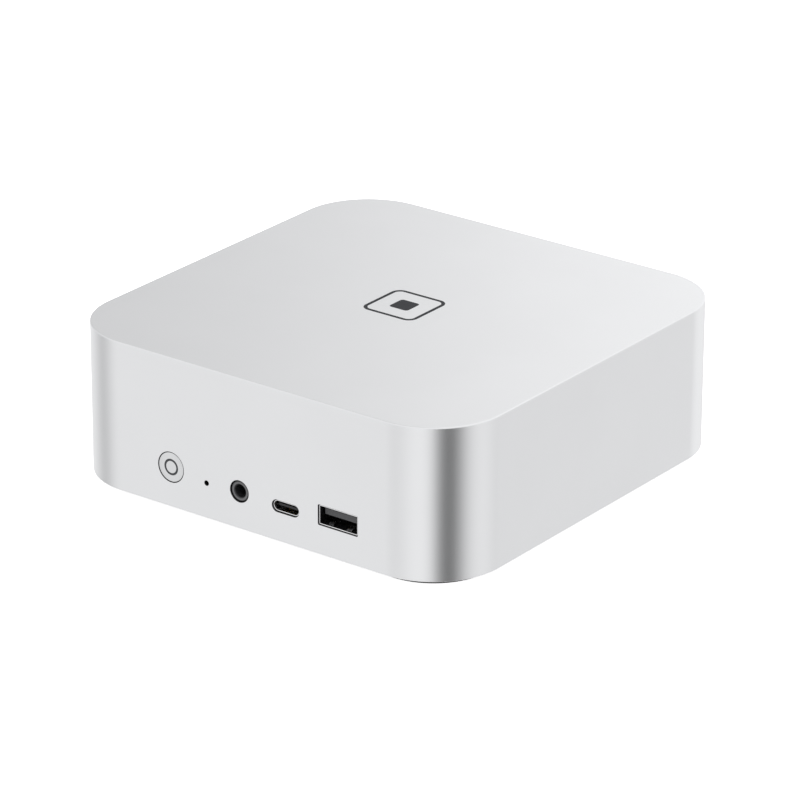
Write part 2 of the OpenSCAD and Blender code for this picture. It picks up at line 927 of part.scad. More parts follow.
module front_usb_c_tongue() {
    color(dark_plastic)
        union() {
            box([usb_c_x - usb_c_block[0] / 2, usb_c_x + usb_c_block[0] / 2],
                [usb_c_back_y, usb_c_back_y + usb_c_block[1]], [board_top, usb_c_z + 1.5]);
            box([usb_c_x - usb_c_tongue[0] / 2, usb_c_x + usb_c_tongue[0] / 2],
                [front_y + 1.4, usb_c_back_y + eps],
                [usb_c_z - usb_c_tongue[1] / 2, usb_c_z + usb_c_tongue[1] / 2]);
        }
}

module front_audio_jack() {
    jack_depth = 12;
    nose_y = front_y + 0.3;
    block_half = 3.5;
    color(filter_grey)
        difference() {
            union() {
                box([-jack_x - block_half, -jack_x + block_half],
                    [front_inner_y + seat_gap, nose_y + jack_depth + 1.2], [board_top, jack_z + 2.8]);
                rod(-jack_x, jack_z, [nose_y, front_inner_y + 2], jack_nose_r - 0.3);
                rod(-jack_x, jack_z, [nose_y, front_inner_y + seat_gap], jack_nose_r);
            }
            rod(-jack_x, jack_z, [nose_y - eps, nose_y + jack_depth], jack_bore_d / 2);
        }
}

// Outside of the rear port with this number, standing on the board
module port_block(i, h) {
    box([port_left(i), port_left(i) + port_w[i]], [port_back_y, port_face_y], [board_top, board_top + h]);
}

module rear_usb_a_shells() {
    color(steel)
        difference() {
            port_block(0, stack_h);
            for (z = stack_z)
                wall_prism(rear_usb_a_x, z, [rear_usb_a_back_y, port_face_y + eps])
                    square(usb_a_cavity, center = true);
        }
}

module rear_usb_c_shell() {
    color(steel)
        usb_c_sleeve(rear_usb_c_x, board_top + usb_c_outer[1] / 2, [rear_usb_c_back_y, port_face_y]);
}

// Mouth of a video port: a low outline with two cut corners
module video_mouth(w, h, cut_left, cut_right) {
    polygon([
        [-w / 2 + cut_left, 0], [w / 2 - cut_right, 0], [w / 2, cut_right], [w / 2, h],
        [-w / 2, h], [-w / 2, cut_left]
    ]);
}

module video_port(i, x, h, cut_left, cut_right) {
    skin = 0.6;
    color(steel)
        difference() {
            port_block(i, h);
            wall_prism(x, board_top + skin, [video_back_y, port_face_y + eps])
                video_mouth(port_w[i] - 2 * skin, h - 2 * skin, cut_left, cut_right);
        }
}

module rear_video_port_1() { video_port(2, video_1_x, video_h[0], 0.1, 1.8); }
module rear_video_port_2() { video_port(3, video_2_x, video_h[1], 1.6, 1.6); }

module rear_network_port() {
    mouth = [11.8, 8];
    latch = [6.2, 2.4];
    mouth_low = board_top + 3.2;
    color(steel)
        difference() {
            port_block(4, network_h);
            box([network_x - mouth[0] / 2, network_x + mouth[0] / 2], [network_back_y, port_face_y + eps],
                [mouth_low, mouth_low + mouth[1]]);
            box([network_x - latch[0] / 2, network_x + latch[0] / 2], [network_back_y, port_face_y + eps],
                [mouth_low - latch[1], mouth_low + eps]);
        }
}

// Tongues of the rear sockets, each standing on the back of its cavity
module rear_port_tongues() {
    color(dark_plastic) {
        for (z = stack_z)
            box([rear_usb_a_x - usb_a_tongue[0] / 2, rear_usb_a_x + usb_a_tongue[0] / 2],
                [rear_usb_a_back_y, port_face_y - 1.4], [z - usb_a_drop, z - usb_a_drop + usb_a_tongue[1]]);
        union() {
            box([rear_usb_c_x - usb_c_block[0] / 2, rear_usb_c_x + usb_c_block[0] / 2],
                [rear_usb_c_back_y - usb_c_block[1], rear_usb_c_back_y], [board_top, board_top + 3]);
            box([rear_usb_c_x - usb_c_tongue[0] / 2, rear_usb_c_x + usb_c_tongue[0] / 2],
                [rear_usb_c_back_y - eps, port_face_y - 1],
                [board_top + (usb_c_outer[1] - usb_c_tongue[1]) / 2,
                    board_top + (usb_c_outer[1] + usb_c_tongue[1]) / 2]);
        }
        box([video_1_x - 6.2, video_1_x + 6.2], [video_back_y, port_face_y - 1.6],
            [board_top + 3.2, board_top + 4.6]);
        box([video_2_x - 5.8, video_2_x + 5.8], [video_back_y, port_face_y - 1.4],
            [board_top + 2.8, board_top + 3.8]);
    }
}

module power_inlet() {
    color(dark_plastic)
        union() {
            difference() {
                port_block(5, inlet_h);
                rod(inlet_x, inlet_z, [inlet_back_y, port_face_y + eps], inlet_bore_r);
            }
            rod(inlet_x, inlet_z, [inlet_back_y - eps, port_face_y - 0.8], inlet_pin_r);
        }
}

module power_button() {
    color(aluminium)
        difference() {
            union() {
                rod(-button_x, button_z, [button_face_y, flange_y + eps], button_r);
                rod(-button_x, button_z, [flange_y, flange_y + flange_t], flange_r);
                rod(-button_x, button_z, [flange_y + eps, plunger_tip_y], stem_r);
            }
            difference() {
                rod(-button_x, button_z, [button_face_y - eps, button_face_y + light_t], light_outer_r);
                rod(-button_x, button_z, [button_face_y - 2 * eps, button_face_y + eps], light_inner_r);
            }
        }
}

module button_light_ring() {
    color(ink)
        difference() {
            rod(-button_x, button_z, [button_face_y, button_face_y + light_t], light_outer_r);
            rod(-button_x, button_z, [button_face_y - eps, button_face_y + light_t + eps], light_inner_r);
        }
}

module button_led() {
    color(lamp_white)
        box([led_x, led_x + lamp[0]], [eps - board_half, eps - board_half + lamp[1]],
            [board_top, board_top + lamp[2]]);
}

module power_switch_body() {
    color(dark_plastic)
        difference() {
            box([-button_x - switch_half, -button_x + switch_half], [switch_y, switch_y + switch_t],
                [board_top, button_z + switch_half + 0.1]);
            rod(-button_x, button_z, [switch_y - eps, switch_y + plunger_grip + button_travel + 0.5],
                plunger_r + run_gap);
        }
}

module power_switch_plunger() {
    color(plunger_white)
        rod(-button_x, button_z, [plunger_tip_y, switch_y + plunger_grip], plunger_r);
}

module reset_switch_body() {
    color(dark_plastic)
        difference() {
            box([-pinhole_x - reset_half, -pinhole_x + reset_half], [reset_body_y, reset_body_y + reset_t],
                [board_top, pinhole_z + reset_half - 0.1]);
            rod(-pinhole_x, pinhole_z, [reset_body_y - eps, reset_body_y + 2], reset_plunger_r + run_gap);
        }
}

module reset_switch_plunger() {
    color(plunger_white)
        rod(-pinhole_x, pinhole_z, [reset_tip_y, reset_body_y + 1.4], reset_plunger_r);
}

top_shell();
top_emblem();
base_cover();
base_cover_screws();
foot_ring();
dust_filter();
rear_panel();
mainboard();
mainboard_screws();
board_standoffs();
processor();
power_inductors();
bulk_capacitors();
cooler_base();
cooler_screws();
heat_pipes();
fin_stack();
fan_housing();
fan_cover();
fan_motor();
fan_impeller();
fan_shaft();
fan_screws();
fan_cable();
memory_socket_1();
memory_socket_2();
memory_module_1();
memory_module_2();
ssd_socket_1();
ssd_socket_2();
ssd_1();
ssd_2();
ssd_pads();
ssd_spreaders();
card_screws();
wireless_socket();
wireless_card();
antenna_left();
antenna_right();
antenna_leads();
clock_battery();
front_usb_a_shell();
front_usb_a_tongue();
front_usb_c_shell();
front_usb_c_tongue();
front_audio_jack();
rear_usb_a_shells();
rear_usb_c_shell();
rear_video_port_1();
rear_video_port_2();
rear_network_port();
rear_port_tongues();
power_inlet();
power_button();
button_light_ring();
button_led();
power_switch_body();
power_switch_plunger();
reset_switch_body();
reset_switch_plunger();
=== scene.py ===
"""Looks of a small square desktop computer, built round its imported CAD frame.

Lengths are in millimetres until finish_mesh() turns a mesh into metres. Places come from the frame's
boxes and the record's mounts. Sizes that those don't hold, such as radii and edges, are written here.
"""
import json
import math

import bmesh
import bpy
from mathutils import Matrix, Vector

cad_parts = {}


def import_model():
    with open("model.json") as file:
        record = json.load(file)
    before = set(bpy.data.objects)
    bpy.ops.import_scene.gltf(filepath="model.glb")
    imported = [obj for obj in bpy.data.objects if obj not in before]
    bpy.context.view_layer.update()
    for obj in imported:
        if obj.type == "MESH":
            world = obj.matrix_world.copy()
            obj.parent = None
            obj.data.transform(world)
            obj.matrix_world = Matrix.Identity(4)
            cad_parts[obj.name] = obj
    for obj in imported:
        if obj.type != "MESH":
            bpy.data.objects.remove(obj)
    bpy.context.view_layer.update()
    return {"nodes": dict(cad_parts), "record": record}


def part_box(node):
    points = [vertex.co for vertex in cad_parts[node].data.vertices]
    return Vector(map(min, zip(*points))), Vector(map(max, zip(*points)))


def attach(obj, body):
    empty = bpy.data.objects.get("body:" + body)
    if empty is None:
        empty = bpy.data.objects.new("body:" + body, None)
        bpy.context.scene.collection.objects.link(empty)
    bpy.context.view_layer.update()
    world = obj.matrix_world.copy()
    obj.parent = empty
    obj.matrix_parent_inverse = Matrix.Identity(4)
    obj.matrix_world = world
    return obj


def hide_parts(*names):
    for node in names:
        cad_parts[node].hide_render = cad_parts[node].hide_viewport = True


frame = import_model()
NODES = frame["nodes"]
RECORD = frame["record"]
MOUNTS = {mount["name"]: mount for mount in RECORD["mounts"]}
SLOT_OF = {part["node"]: part["material_slot"] for part in RECORD["subparts"]}
MM = 0.001

# Directions a shape is swept in: across, up, and inwards from the face that it starts on
FRONT = (Vector((1, 0, 0)), Vector((0, 0, 1)), Vector((0, 1, 0)))
REAR = (Vector((-1, 0, 0)), Vector((0, 0, 1)), Vector((0, -1, 0)))
TOP = (Vector((1, 0, 0)), Vector((0, 1, 0)), Vector((0, 0, -1)))
UNDER = (Vector((1, 0, 0)), Vector((0, -1, 0)), Vector((0, 0, 1)))


# ---------------------------------------------------------------- places from the frame
def low(node):
    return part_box(node)[0] / MM


def high(node):
    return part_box(node)[1] / MM


def middle(node):
    return (low(node) + high(node)) / 2


def half_size(node):
    return (high(node) - low(node)) / 2


def mount_place(name):
    return Vector(MOUNTS[name]["pos_m"]) / MM


def mount_size(name, dimension):
    return MOUNTS[name]["dims"][dimension]


HALF = high("top_shell").x
TOP_Z = high("top_shell").z
RIM_Z = low("top_shell").z
CORNER_R = 21.7
WALL = 2.2
SHEET = 0.3  # steel of the socket sleeves
LIP = 0.12  # soft edge of small openings and sockets
PAST = 0.5  # how far a cutter starts outside a face, or a part runs into its neighbour
SCREW_R = 0.98
SCREW_HEAD_R = 2.4
BOARD_SCREW_HEAD_R = 2.2


# ---------------------------------------------------------------- outlines and profiles
def rounded_outline(half_x, half_y, r, steps):
    """Points round a rectangle with arc corners. With both halves equal to r it is a circle."""
    points = []
    for i, (sx, sy) in enumerate(((1, 1), (-1, 1), (-1, -1), (1, -1))):
        for k in range(steps + 1):
            a = math.radians(90 * (i + k / steps))
            points.append((sx * (half_x - r) + r * math.cos(a), sy * (half_y - r) + r * math.sin(a)))
    return points


def quarter_turn(steps):
    return [math.radians(90 * k / steps) for k in range(steps + 1)]


def outer_edge(r, steps=4):
    """(grow, depth) pairs over a solid's edge of radius r, from its face to its side."""
    return [(-r + r * math.sin(a), r - r * math.cos(a)) for a in quarter_turn(steps)]


def inner_edge(r, grow=0.0):
    """(grow, depth) pairs over a hole's edge of radius r, from the face round it to its wall."""
    return [(grow + r - r * math.sin(a), r - r * math.cos(a)) for a in quarter_turn(4)]


def plug(length, r):
    """A solid with soft edges at its face and a plain back."""
    return outer_edge(r) + [(0, length)]


def hole(depth, r):
    """A cutter that starts outside the face and leaves a soft edge where it enters."""
    return [(r, -1)] + inner_edge(r) + [(0, depth)]


def sleeve(length, wall):
    """A closed loop of wall thickness wall with soft edges at its face."""
    return [(0, length)] + outer_edge(LIP)[::-1] + inner_edge(LIP, grow=-wall) + [(-wall, length)]


# ---------------------------------------------------------------- mesh helpers
def loft(bm, rings, loop=False):
    """Joins rings of points with quads. It caps both ends, or joins the last ring to the first."""
    made = [[bm.verts.new(point) for point in ring] for ring in rings]
    n = len(made[0])
    pairs = list(zip(made, made[1:])) + ([(made[-1], made[0])] if loop else [])
    for a, b in pairs:
        for k in range(n):
            bm.faces.new((a[k], a[(k + 1) % n], b[(k + 1) % n], b[k]))
    if not loop:
        bm.faces.new(made[0][::-1])
        bm.faces.new(made[-1])


def swept(bm, axes, at, shape, profile, steps=8, loop=False):
    """Sweeps shape, which is (half width, half height, corner radius), through (grow, depth) pairs."""
    across, up, inwards = axes
    rings = []
    for grow, depth in profile:
        half_x, half_y, r = (max(value + grow, 0.01) for value in shape)
        outline = rounded_outline(half_x, half_y, min(r, half_x, half_y), steps)
        rings.append([Vector(at) + across * x + up * y + inwards * depth for x, y in outline])
    loft(bm, rings, loop)


def turned(bm, axes, at, profile, steps=16, loop=False):
    """A turned shape through (radius, depth) pairs."""
    swept(bm, axes, at, (0, 0, 0), profile, steps, loop)


def prism(bm, axes, at, outline, depths):
    """A straight prism of any outline between two depths."""
    across, up, inwards = axes
    loft(bm, [[Vector(at) + across * x + up * y + inwards * depth for x, y in outline] for depth in depths])


def block(bm, lowest, highest, r=0.1):
    """A box between two corners with its edges softened by r."""
    lowest, highest = Vector(lowest), Vector(highest)
    size = highest - lowest
    at = ((lowest.x + highest.x) / 2, (lowest.y + highest.y) / 2, highest.z)
    edge = outer_edge(r, steps=2)
    back = [(grow, size.z - depth) for grow, depth in edge[::-1]]
    swept(bm, TOP, at, (size.x / 2, size.y / 2, r), edge + back, steps=2)


def finish_mesh(name, bm):
    """A new object in metres, smoothly shaded."""
    bmesh.ops.remove_doubles(bm, verts=bm.verts, dist=1e-4)
    bmesh.ops.dissolve_degenerate(bm, edges=bm.edges, dist=1e-4)
    bmesh.ops.recalc_face_normals(bm, faces=bm.faces)
    bmesh.ops.scale(bm, vec=(MM, MM, MM), verts=bm.verts)
    mesh = bpy.data.meshes.new(name)
    bm.to_mesh(mesh)
    bm.free()
    obj = bpy.data.objects.new(name, mesh)
    bpy.context.scene.collection.objects.link(obj)
    shade(obj)
    return obj


def shade(obj):
    """Smooth shading, split at edges sharper than 30 degrees."""
    obj.data.shade_smooth()
    obj.data.set_sharp_from_angle(angle=math.radians(30))
    weighted = obj.modifiers.new("weighted", "WEIGHTED_NORMAL")
    weighted.keep_sharp = True


def cut(obj, cutters, wall=None):
    """Cuts the closed shapes in cutters out of obj. The cut walls take the material wall, if given: a dark
    metal that paints shade into the openings.
    """
    tool = finish_mesh("cutter", cutters)
    tool.modifiers.clear()
    obj.modifiers.clear()
    step = obj.modifiers.new("cut", "BOOLEAN")
    step.solver = "EXACT"
    step.object = tool
    if wall:
        tool.data.materials.append(wall)
        step.material_mode = "TRANSFER"
    graph = bpy.context.evaluated_depsgraph_get()
    mesh = bpy.data.meshes.new_from_object(obj.evaluated_get(graph))
    obj.modifiers.clear()
    obj.data = mesh
    bpy.data.objects.remove(tool)
    shade(obj)


# ---------------------------------------------------------------- materials
def new_material(name, color, metallic=0.0, roughness=0.5):
    material = bpy.data.materials.new(name)
    material.use_nodes = True
    tree = material.node_tree
    shader = tree.nodes["Principled BSDF"]
    shader.inputs["Base Color"].default_value = (*color, 1)
    shader.inputs["Metallic"].default_value = metallic
    shader.inputs["Roughness"].default_value = roughness
    return material, tree, shader


def object_coords(tree, stretch=(1, 1, 1)):
    coords = tree.nodes.new("ShaderNodeTexCoord")
    mapping = tree.nodes.new("ShaderNodeMapping")
    mapping.inputs["Scale"].default_value = stretch
    tree.links.new(coords.outputs["Object"], mapping.inputs["Vector"])
    return mapping.outputs["Vector"]


def noise(tree, scale, detail=2.0, stretch=(1, 1, 1)):
    texture = tree.nodes.new("ShaderNodeTexNoise")
    texture.inputs["Scale"].default_value = scale
    texture.inputs["Detail"].default_value = detail
    tree.links.new(object_coords(tree, stretch), texture.inputs["Vector"])
    return texture.outputs["Fac"]


def remap(tree, value, lowest, highest):
    node = tree.nodes.new("ShaderNodeMapRange")
    node.inputs["To Min"].default_value = lowest
    node.inputs["To Max"].default_value = highest
    tree.links.new(value, node.inputs["Value"])
    return node.outputs["Result"]


def blend(tree, value, first, second):
    """A colour between first and second, as value goes from 0.35 to 0.65."""
    ramp = tree.nodes.new("ShaderNodeValToRGB")
    ramp.color_ramp.elements[0].position = 0.35
    ramp.color_ramp.elements[0].color = (*first, 1)
    ramp.color_ramp.elements[1].position = 0.65
    ramp.color_ramp.elements[1].color = (*second, 1)
    tree.links.new(value, ramp.inputs["Fac"])
    return ramp.outputs["Color"]


def bump(tree, shader, height, strength, distance):
    node = tree.nodes.new("ShaderNodeBump")
    node.inputs["Strength"].default_value = strength
    node.inputs["Distance"].default_value = distance
    tree.links.new(height, node.inputs["Height"])
    tree.links.new(node.outputs["Normal"], shader.inputs["Normal"])


def mottled(tree, shader, color, spread, scale, detail=3.0):
    """Base colour that wanders a little either side of color."""
    darker = tuple(channel * (1 - spread) for channel in color)
    lighter = tuple(min(1, channel * (1 + spread)) for channel in color)
    tree.links.new(blend(tree, noise(tree, scale, detail), darker, lighter), shader.inputs["Base Color"])


def blasted_aluminium(name, color, roughness=0.34):
    """Fine bead-blasted, anodised silver: a soft metal sheen with a very fine grain."""
    material, tree, shader = new_material(name, color, 1.0, roughness)
    mottled(tree, shader, color, 0.006, 35)
    grain = noise(tree, 9000, 1)
    tree.links.new(remap(tree, grain, roughness - 0.025, roughness + 0.025), shader.inputs["Roughness"])
    bump(tree, shader, grain, 0.08, 0.00002)
    return material


def drawn_metal(name, color, roughness=0.25, stretch=(1, 12, 1)):
    """Sheet or turned metal with faint drawing lines."""
    material, tree, shader = new_material(name, color, 1.0, roughness)
    mottled(tree, shader, color, 0.04, 220)
    lines = noise(tree, 1500, 2, stretch)
    tree.links.new(remap(tree, lines, roughness - 0.07, roughness + 0.09), shader.inputs["Roughness"])
    bump(tree, shader, lines, 0.12, 0.00002)
    return material


def moulded_plastic(name, color, roughness=0.5, grain_scale=2600, depth=0.00003):
    """Moulded plastic with a fine spark-eroded grain."""
    material, tree, shader = new_material(name, color, 0.0, roughness)
    mottled(tree, shader, color, 0.08, 90)
    grain = noise(tree, grain_scale, 2)
    tree.links.new(remap(tree, grain, roughness - 0.08, roughness + 0.08), shader.inputs["Roughness"])
    bump(tree, shader, grain, 0.25, depth)
    return material


def foot_rubber(name, color):
    """Soft rubber: dull, with a dusty mottling and a coarser grain than the plastics."""
    material, tree, shader = new_material(name, color, 0.0, 0.82)
    mottled(tree, shader, color, 0.18, 160, 5)
    bump(tree, shader, noise(tree, 1400, 3), 0.35, 0.00006)
    return material


def board_laminate(name, color):
    """Solder-masked board: tracks show as slightly lighter lines under the mask."""
    material, tree, shader = new_material(name, color, 0.0, 0.32)
    tracks = tree.nodes.new("ShaderNodeTexBrick")
    tracks.inputs["Scale"].default_value = 420
    tracks.inputs["Mortar Size"].default_value = 0.012
    tracks.inputs["Color1"].default_value = (*color, 1)
    tracks.inputs["Color2"].default_value = (*(channel * 0.85 for channel in color), 1)
    tracks.inputs["Mortar"].default_value = (*(min(1, channel * 1.9 + 0.01) for channel in color), 1)
    tree.links.new(object_coords(tree), tracks.inputs["Vector"])
    tree.links.new(tracks.outputs["Color"], shader.inputs["Base Color"])
    tree.links.new(remap(tree, noise(tree, 300), 0.26, 0.4), shader.inputs["Roughness"])
    bump(tree, shader, tracks.outputs["Fac"], 0.2, 0.00003)
    return material


def thermal_putty(name, color):
    material, tree, shader = new_material(name, color, 0.0, 0.9)
    mottled(tree, shader, color, 0.1, 500, 4)
    bump(tree, shader, noise(tree, 900, 4), 0.5, 0.0001)
    return material


def printed_ink(name, color):
    """Matt ink with hardly any gloss."""
    material, tree, shader = new_material(name, color, 0.0, 0.6)
    mottled(tree, shader, color, 0.12, 900)
    shader.inputs["Specular IOR Level"].default_value = 0.2
    return material


def clear_lens(name, color):
    """Milky light guide."""
    material, tree, shader = new_material(name, color, 0.0, 0.3)
    mottled(tree, shader, color, 0.03, 400)
    shader.inputs["Transmission Weight"].default_value = 0.25
    return material


LOOKS = {
    "shell_aluminium": lambda n: blasted_aluminium(n, (0.858, 0.864, 0.876)),
    "button_aluminium": lambda n: blasted_aluminium(n, (0.765, 0.77, 0.78), 0.30),
    "printed_mark": lambda n: printed_ink(n, (0.020, 0.021, 0.024)),
    "button_ring": lambda n: moulded_plastic(n, (0.032, 0.034, 0.038), 0.5, 5200, 0.00001),
    "base_plastic": lambda n: moulded_plastic(n, (0.022, 0.022, 0.024), 0.55),
    "rear_plastic": lambda n: moulded_plastic(n, (0.026, 0.026, 0.029), 0.5),
    "foot_rubber": lambda n: foot_rubber(n, (0.018, 0.018, 0.019)),
    "filter_mesh": lambda n: moulded_plastic(n, (0.035, 0.035, 0.037), 0.7, 4000),
    "screw_steel": lambda n: drawn_metal(n, (0.30, 0.30, 0.31), 0.34),
    "standoff_brass": lambda n: drawn_metal(n, (0.75, 0.56, 0.27), 0.28),
    "circuit_board": lambda n: board_laminate(n, (0.010, 0.045, 0.030)),
    "processor_laminate": lambda n: board_laminate(n, (0.020, 0.075, 0.038)),
    "ferrite": lambda n: moulded_plastic(n, (0.09, 0.09, 0.095), 0.6, 1800),
    "capacitor_can": lambda n: drawn_metal(n, (0.72, 0.73, 0.75), 0.22),
    "cooler_copper": lambda n: drawn_metal(n, (0.86, 0.44, 0.28), 0.26),
    # The fins' colour is darker than bare aluminium: painted shade for the dim inside that is seen through
    # the vent slots.
    "fin_aluminium": lambda n: drawn_metal(n, (0.46, 0.47, 0.48), 0.34, (12, 1, 1)),
    "fan_plastic": lambda n: moulded_plastic(n, (0.020, 0.020, 0.022), 0.42),
    "motor_winding": lambda n: drawn_metal(n, (0.62, 0.28, 0.13), 0.35, (1, 1, 30)),
    "shaft_steel": lambda n: drawn_metal(n, (0.62, 0.62, 0.64), 0.15),
    "lead_jacket": lambda n: moulded_plastic(n, (0.016, 0.016, 0.017), 0.45, 1500),
    "socket_plastic": lambda n: moulded_plastic(n, (0.018, 0.018, 0.020), 0.4),
    "memory_board": lambda n: board_laminate(n, (0.008, 0.035, 0.022)),
    "drive_board": lambda n: board_laminate(n, (0.008, 0.022, 0.042)),
    "thermal_pad": lambda n: thermal_putty(n, (0.36, 0.42, 0.50)),
    "antenna_film": lambda n: moulded_plastic(n, (0.02, 0.02, 0.022), 0.35, 1200),
    "battery_sleeve": lambda n: moulded_plastic(n, (0.02, 0.03, 0.12), 0.35, 1200),
    "port_steel": lambda n: drawn_metal(n, (0.58, 0.58, 0.60), 0.27),
    "port_insert": lambda n: moulded_plastic(n, (0.070, 0.070, 0.074), 0.45),
    "jack_plastic": lambda n: moulded_plastic(n, (0.118, 0.118, 0.124), 0.38),
    "plunger_plastic": lambda n: moulded_plastic(n, (0.55, 0.55, 0.52), 0.45),
    "led_lens": lambda n: clear_lens(n, (0.85, 0.85, 0.82)),
    # Looks within a slot: bright socket sleeves, contacts, and a dark metal that is painted shade, put on
    # inner walls where little light reaches
    "polished_steel": lambda n: drawn_metal(n, (0.88, 0.88, 0.89), 0.18),
    "contact_gold": lambda n: drawn_metal(n, (0.83, 0.62, 0.28), 0.22),
    "shaded_metal": lambda n: drawn_metal(n, (0.10, 0.10, 0.105), 0.4),
}
made_looks = {}


def look(name):
    """The material of that name, made when it is first asked for."""
    if name not in made_looks:
        made_looks[name] = LOOKS[name](name)
    return made_looks[name]


def dress(obj, slot, finish=None):
    """Gives obj the look of its slot, or another look instead."""
    obj.data.materials.clear()
    obj.data.materials.append(look(finish or slot))


def paint_shade(obj, inside):
    """Paints shade on the faces whose middle, in millimetres, makes inside() true, by giving them the dark
    painted-shade metal.
    """
    obj.data.materials.append(look("shaded_metal"))
    index = len(obj.data.materials) - 1
    for face in obj.data.polygons:
        if inside(face.center / MM, face.normal):
            face.material_index = index


def piece(name, bm, slot, body="case", nodes=(), cutters=None, finish=None, wall=None):
    """Turns a bmesh into a named piece that rides on a body and stands for CAD nodes."""
    obj = finish_mesh(name, bm)
    dress(obj, slot, finish)
    if cutters:
        cut(obj, cutters, look(wall) if wall else None)
    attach(obj, body)
    if nodes:
        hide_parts(*nodes)
    return obj


# ---------------------------------------------------------------- shell
BUTTON = middle("power_button")
PINHOLE = mount_place("reset_pinhole")
JACK = mount_place("front_audio_jack")
FRONT_C = middle("front_usb_c_shell")
FRONT_A = middle("front_usb_a_shell")
BUTTON_HOLE_R = 4.5
JACK_HOLE_R = 3.15


def on_front(place):
    return Vector((place.x, -HALF, place.z))


def front_cutters(bm):
    """The five openings in the front wall, each a little larger than what sits in it."""
    through = WALL + 1
    pinhole_r = mount_size("reset_pinhole", "r_mm")
    swept(bm, FRONT, on_front(BUTTON), (BUTTON_HOLE_R,) * 3, hole(through, 0.06), 24)
    swept(bm, FRONT, on_front(PINHOLE), (pinhole_r,) * 3, hole(through, LIP))
    swept(bm, FRONT, on_front(JACK), (JACK_HOLE_R,) * 3, hole(through, LIP), 16)
    size_c, size_a = half_size("front_usb_c_shell"), half_size("front_usb_a_shell")
    r_c = size_c.z + 0.12
    swept(bm, FRONT, on_front(FRONT_C), (size_c.x + 0.1, r_c, r_c), hole(through, LIP), 12)
    swept(bm, FRONT, on_front(FRONT_A), (size_a.x + 0.1, size_a.z + 0.075, 0.35), hole(through, LIP))


def emblem_cutters(bm):
    """The recess that the emblem is set into: a rounded frame and a core."""
    at = middle("top_emblem")
    at.z = TOP_Z
    depth = high("top_emblem").z - low("top_emblem").z
    half, line, core = half_size("top_emblem").x, 1.1, 3.2
    ring = [(0, -PAST), (0, depth), (-line, depth), (-line, -PAST)]
    swept(bm, TOP, at, (half, half, 3), ring, 12, loop=True)
    swept(bm, TOP, at, (core, core, 1), [(0, -PAST), (0, depth)])


def shell():
    """The aluminium shell: one skin outside and in, with softened edges and its openings cut, the walls of
    the openings painted dark as painted shade.
    """
    bm = bmesh.new()
    height = TOP_Z - RIM_Z
    rim = [(-WALL, WALL), (-WALL, height - 0.1), (-WALL + 0.1, height)]
    rim += [(grow, height - depth) for grow, depth in outer_edge(0.2)]
    rim += outer_edge(0.4, steps=6)[::-1]
    swept(bm, TOP, (0, 0, TOP_Z), (HALF, HALF, CORNER_R), rim, 48)
    cutters = bmesh.new()
    front_cutters(cutters)
    emblem_cutters(cutters)
    swept(cutters, REAR, (0, HALF, PANEL_MID), (*PANEL_HALF, 3), hole(WALL + 1, LIP), 12)
    # The cut walls of the openings and recesses take a dark metal: painted shade.
    piece("shell", bm, "shell_aluminium", nodes=["top_shell"], cutters=cutters, wall="shaded_metal")


def shell_columns():
    """Screw bosses in the corners and posts for the mainboard, cast onto the shell's ceiling."""
    bm = bmesh.new()
    ceiling = TOP_Z - WALL
    boss_r, post_r = 3.6, 3.0
    boss = high("base_cover_screws").x - SCREW_HEAD_R
    post = high("mainboard_screws").x - BOARD_SCREW_HEAD_R
    post_y = high("mainboard_screws").y - BOARD_SCREW_HEAD_R
    cover_top, board_top = high("base_cover").z, high("mainboard").z
    for sx in (-1, 1):
        for sy in (-1, 1):
            hollow_column(bm, (sx * boss, sy * boss, cover_top), boss_r, ceiling - cover_top)
            hollow_column(bm, (sx * post, sy * post_y, board_top), post_r, ceiling - board_top)
    piece("shell_columns", bm, "shell_aluminium")


def hollow_column(bm, at, r, height):
    """Round column with a threaded blind hole; it runs a little way into the ceiling."""
    thread_r, thread_depth, edge = 1.0, 7, 0.2
    profile = [(thread_r, thread_depth), (thread_r, edge), (thread_r + edge, 0)]
    profile += [(r - edge, 0), (r, edge), (r, height + PAST)]
    turned(bm, UNDER, at, profile)


# ---------------------------------------------------------------- front controls and ports
def power_button():
    """Cap with a soft edge and a groove for the ring, its flange behind the wall, and its stem."""
    bm = bmesh.new()
    face_y = low("power_button").y
    ring_r = half_size("button_light_ring").x
    groove = ring_r - 0.6
    cap_r = 4.28
    ring_depth = high("button_light_ring").y - face_y
    flange_y = -HALF + WALL + 0.1 - face_y
    flange_r = half_size("power_button").x
    stem_end = high("power_button").y - face_y
    profile = [(groove - 0.03, 0), (groove, 0.03), (groove, ring_depth), (ring_r, ring_depth), (ring_r, 0.03)]
    profile += [(ring_r + 0.03, 0)] + [(cap_r + grow, depth) for grow, depth in outer_edge(0.05)]
    profile += [(cap_r, flange_y), (flange_r - 0.1, flange_y), (flange_r, flange_y + 0.1)]
    profile += [(flange_r, flange_y + 1), (1.5, flange_y + 1), (1.5, stem_end - 0.1), (1.4, stem_end)]
    turned(bm, FRONT, (BUTTON.x, face_y, BUTTON.z), profile, 24)
    cap = piece("power_button_cap", bm, "button_aluminium", "power_button_cap", ["power_button"])
    # The cap's side wall behind its face is painted dark: painted shade, so that the gap round the cap reads
    # dark.
    paint_shade(cap, lambda spot, normal: spot.y > face_y + 0.03 and abs(normal.y) < 0.8)


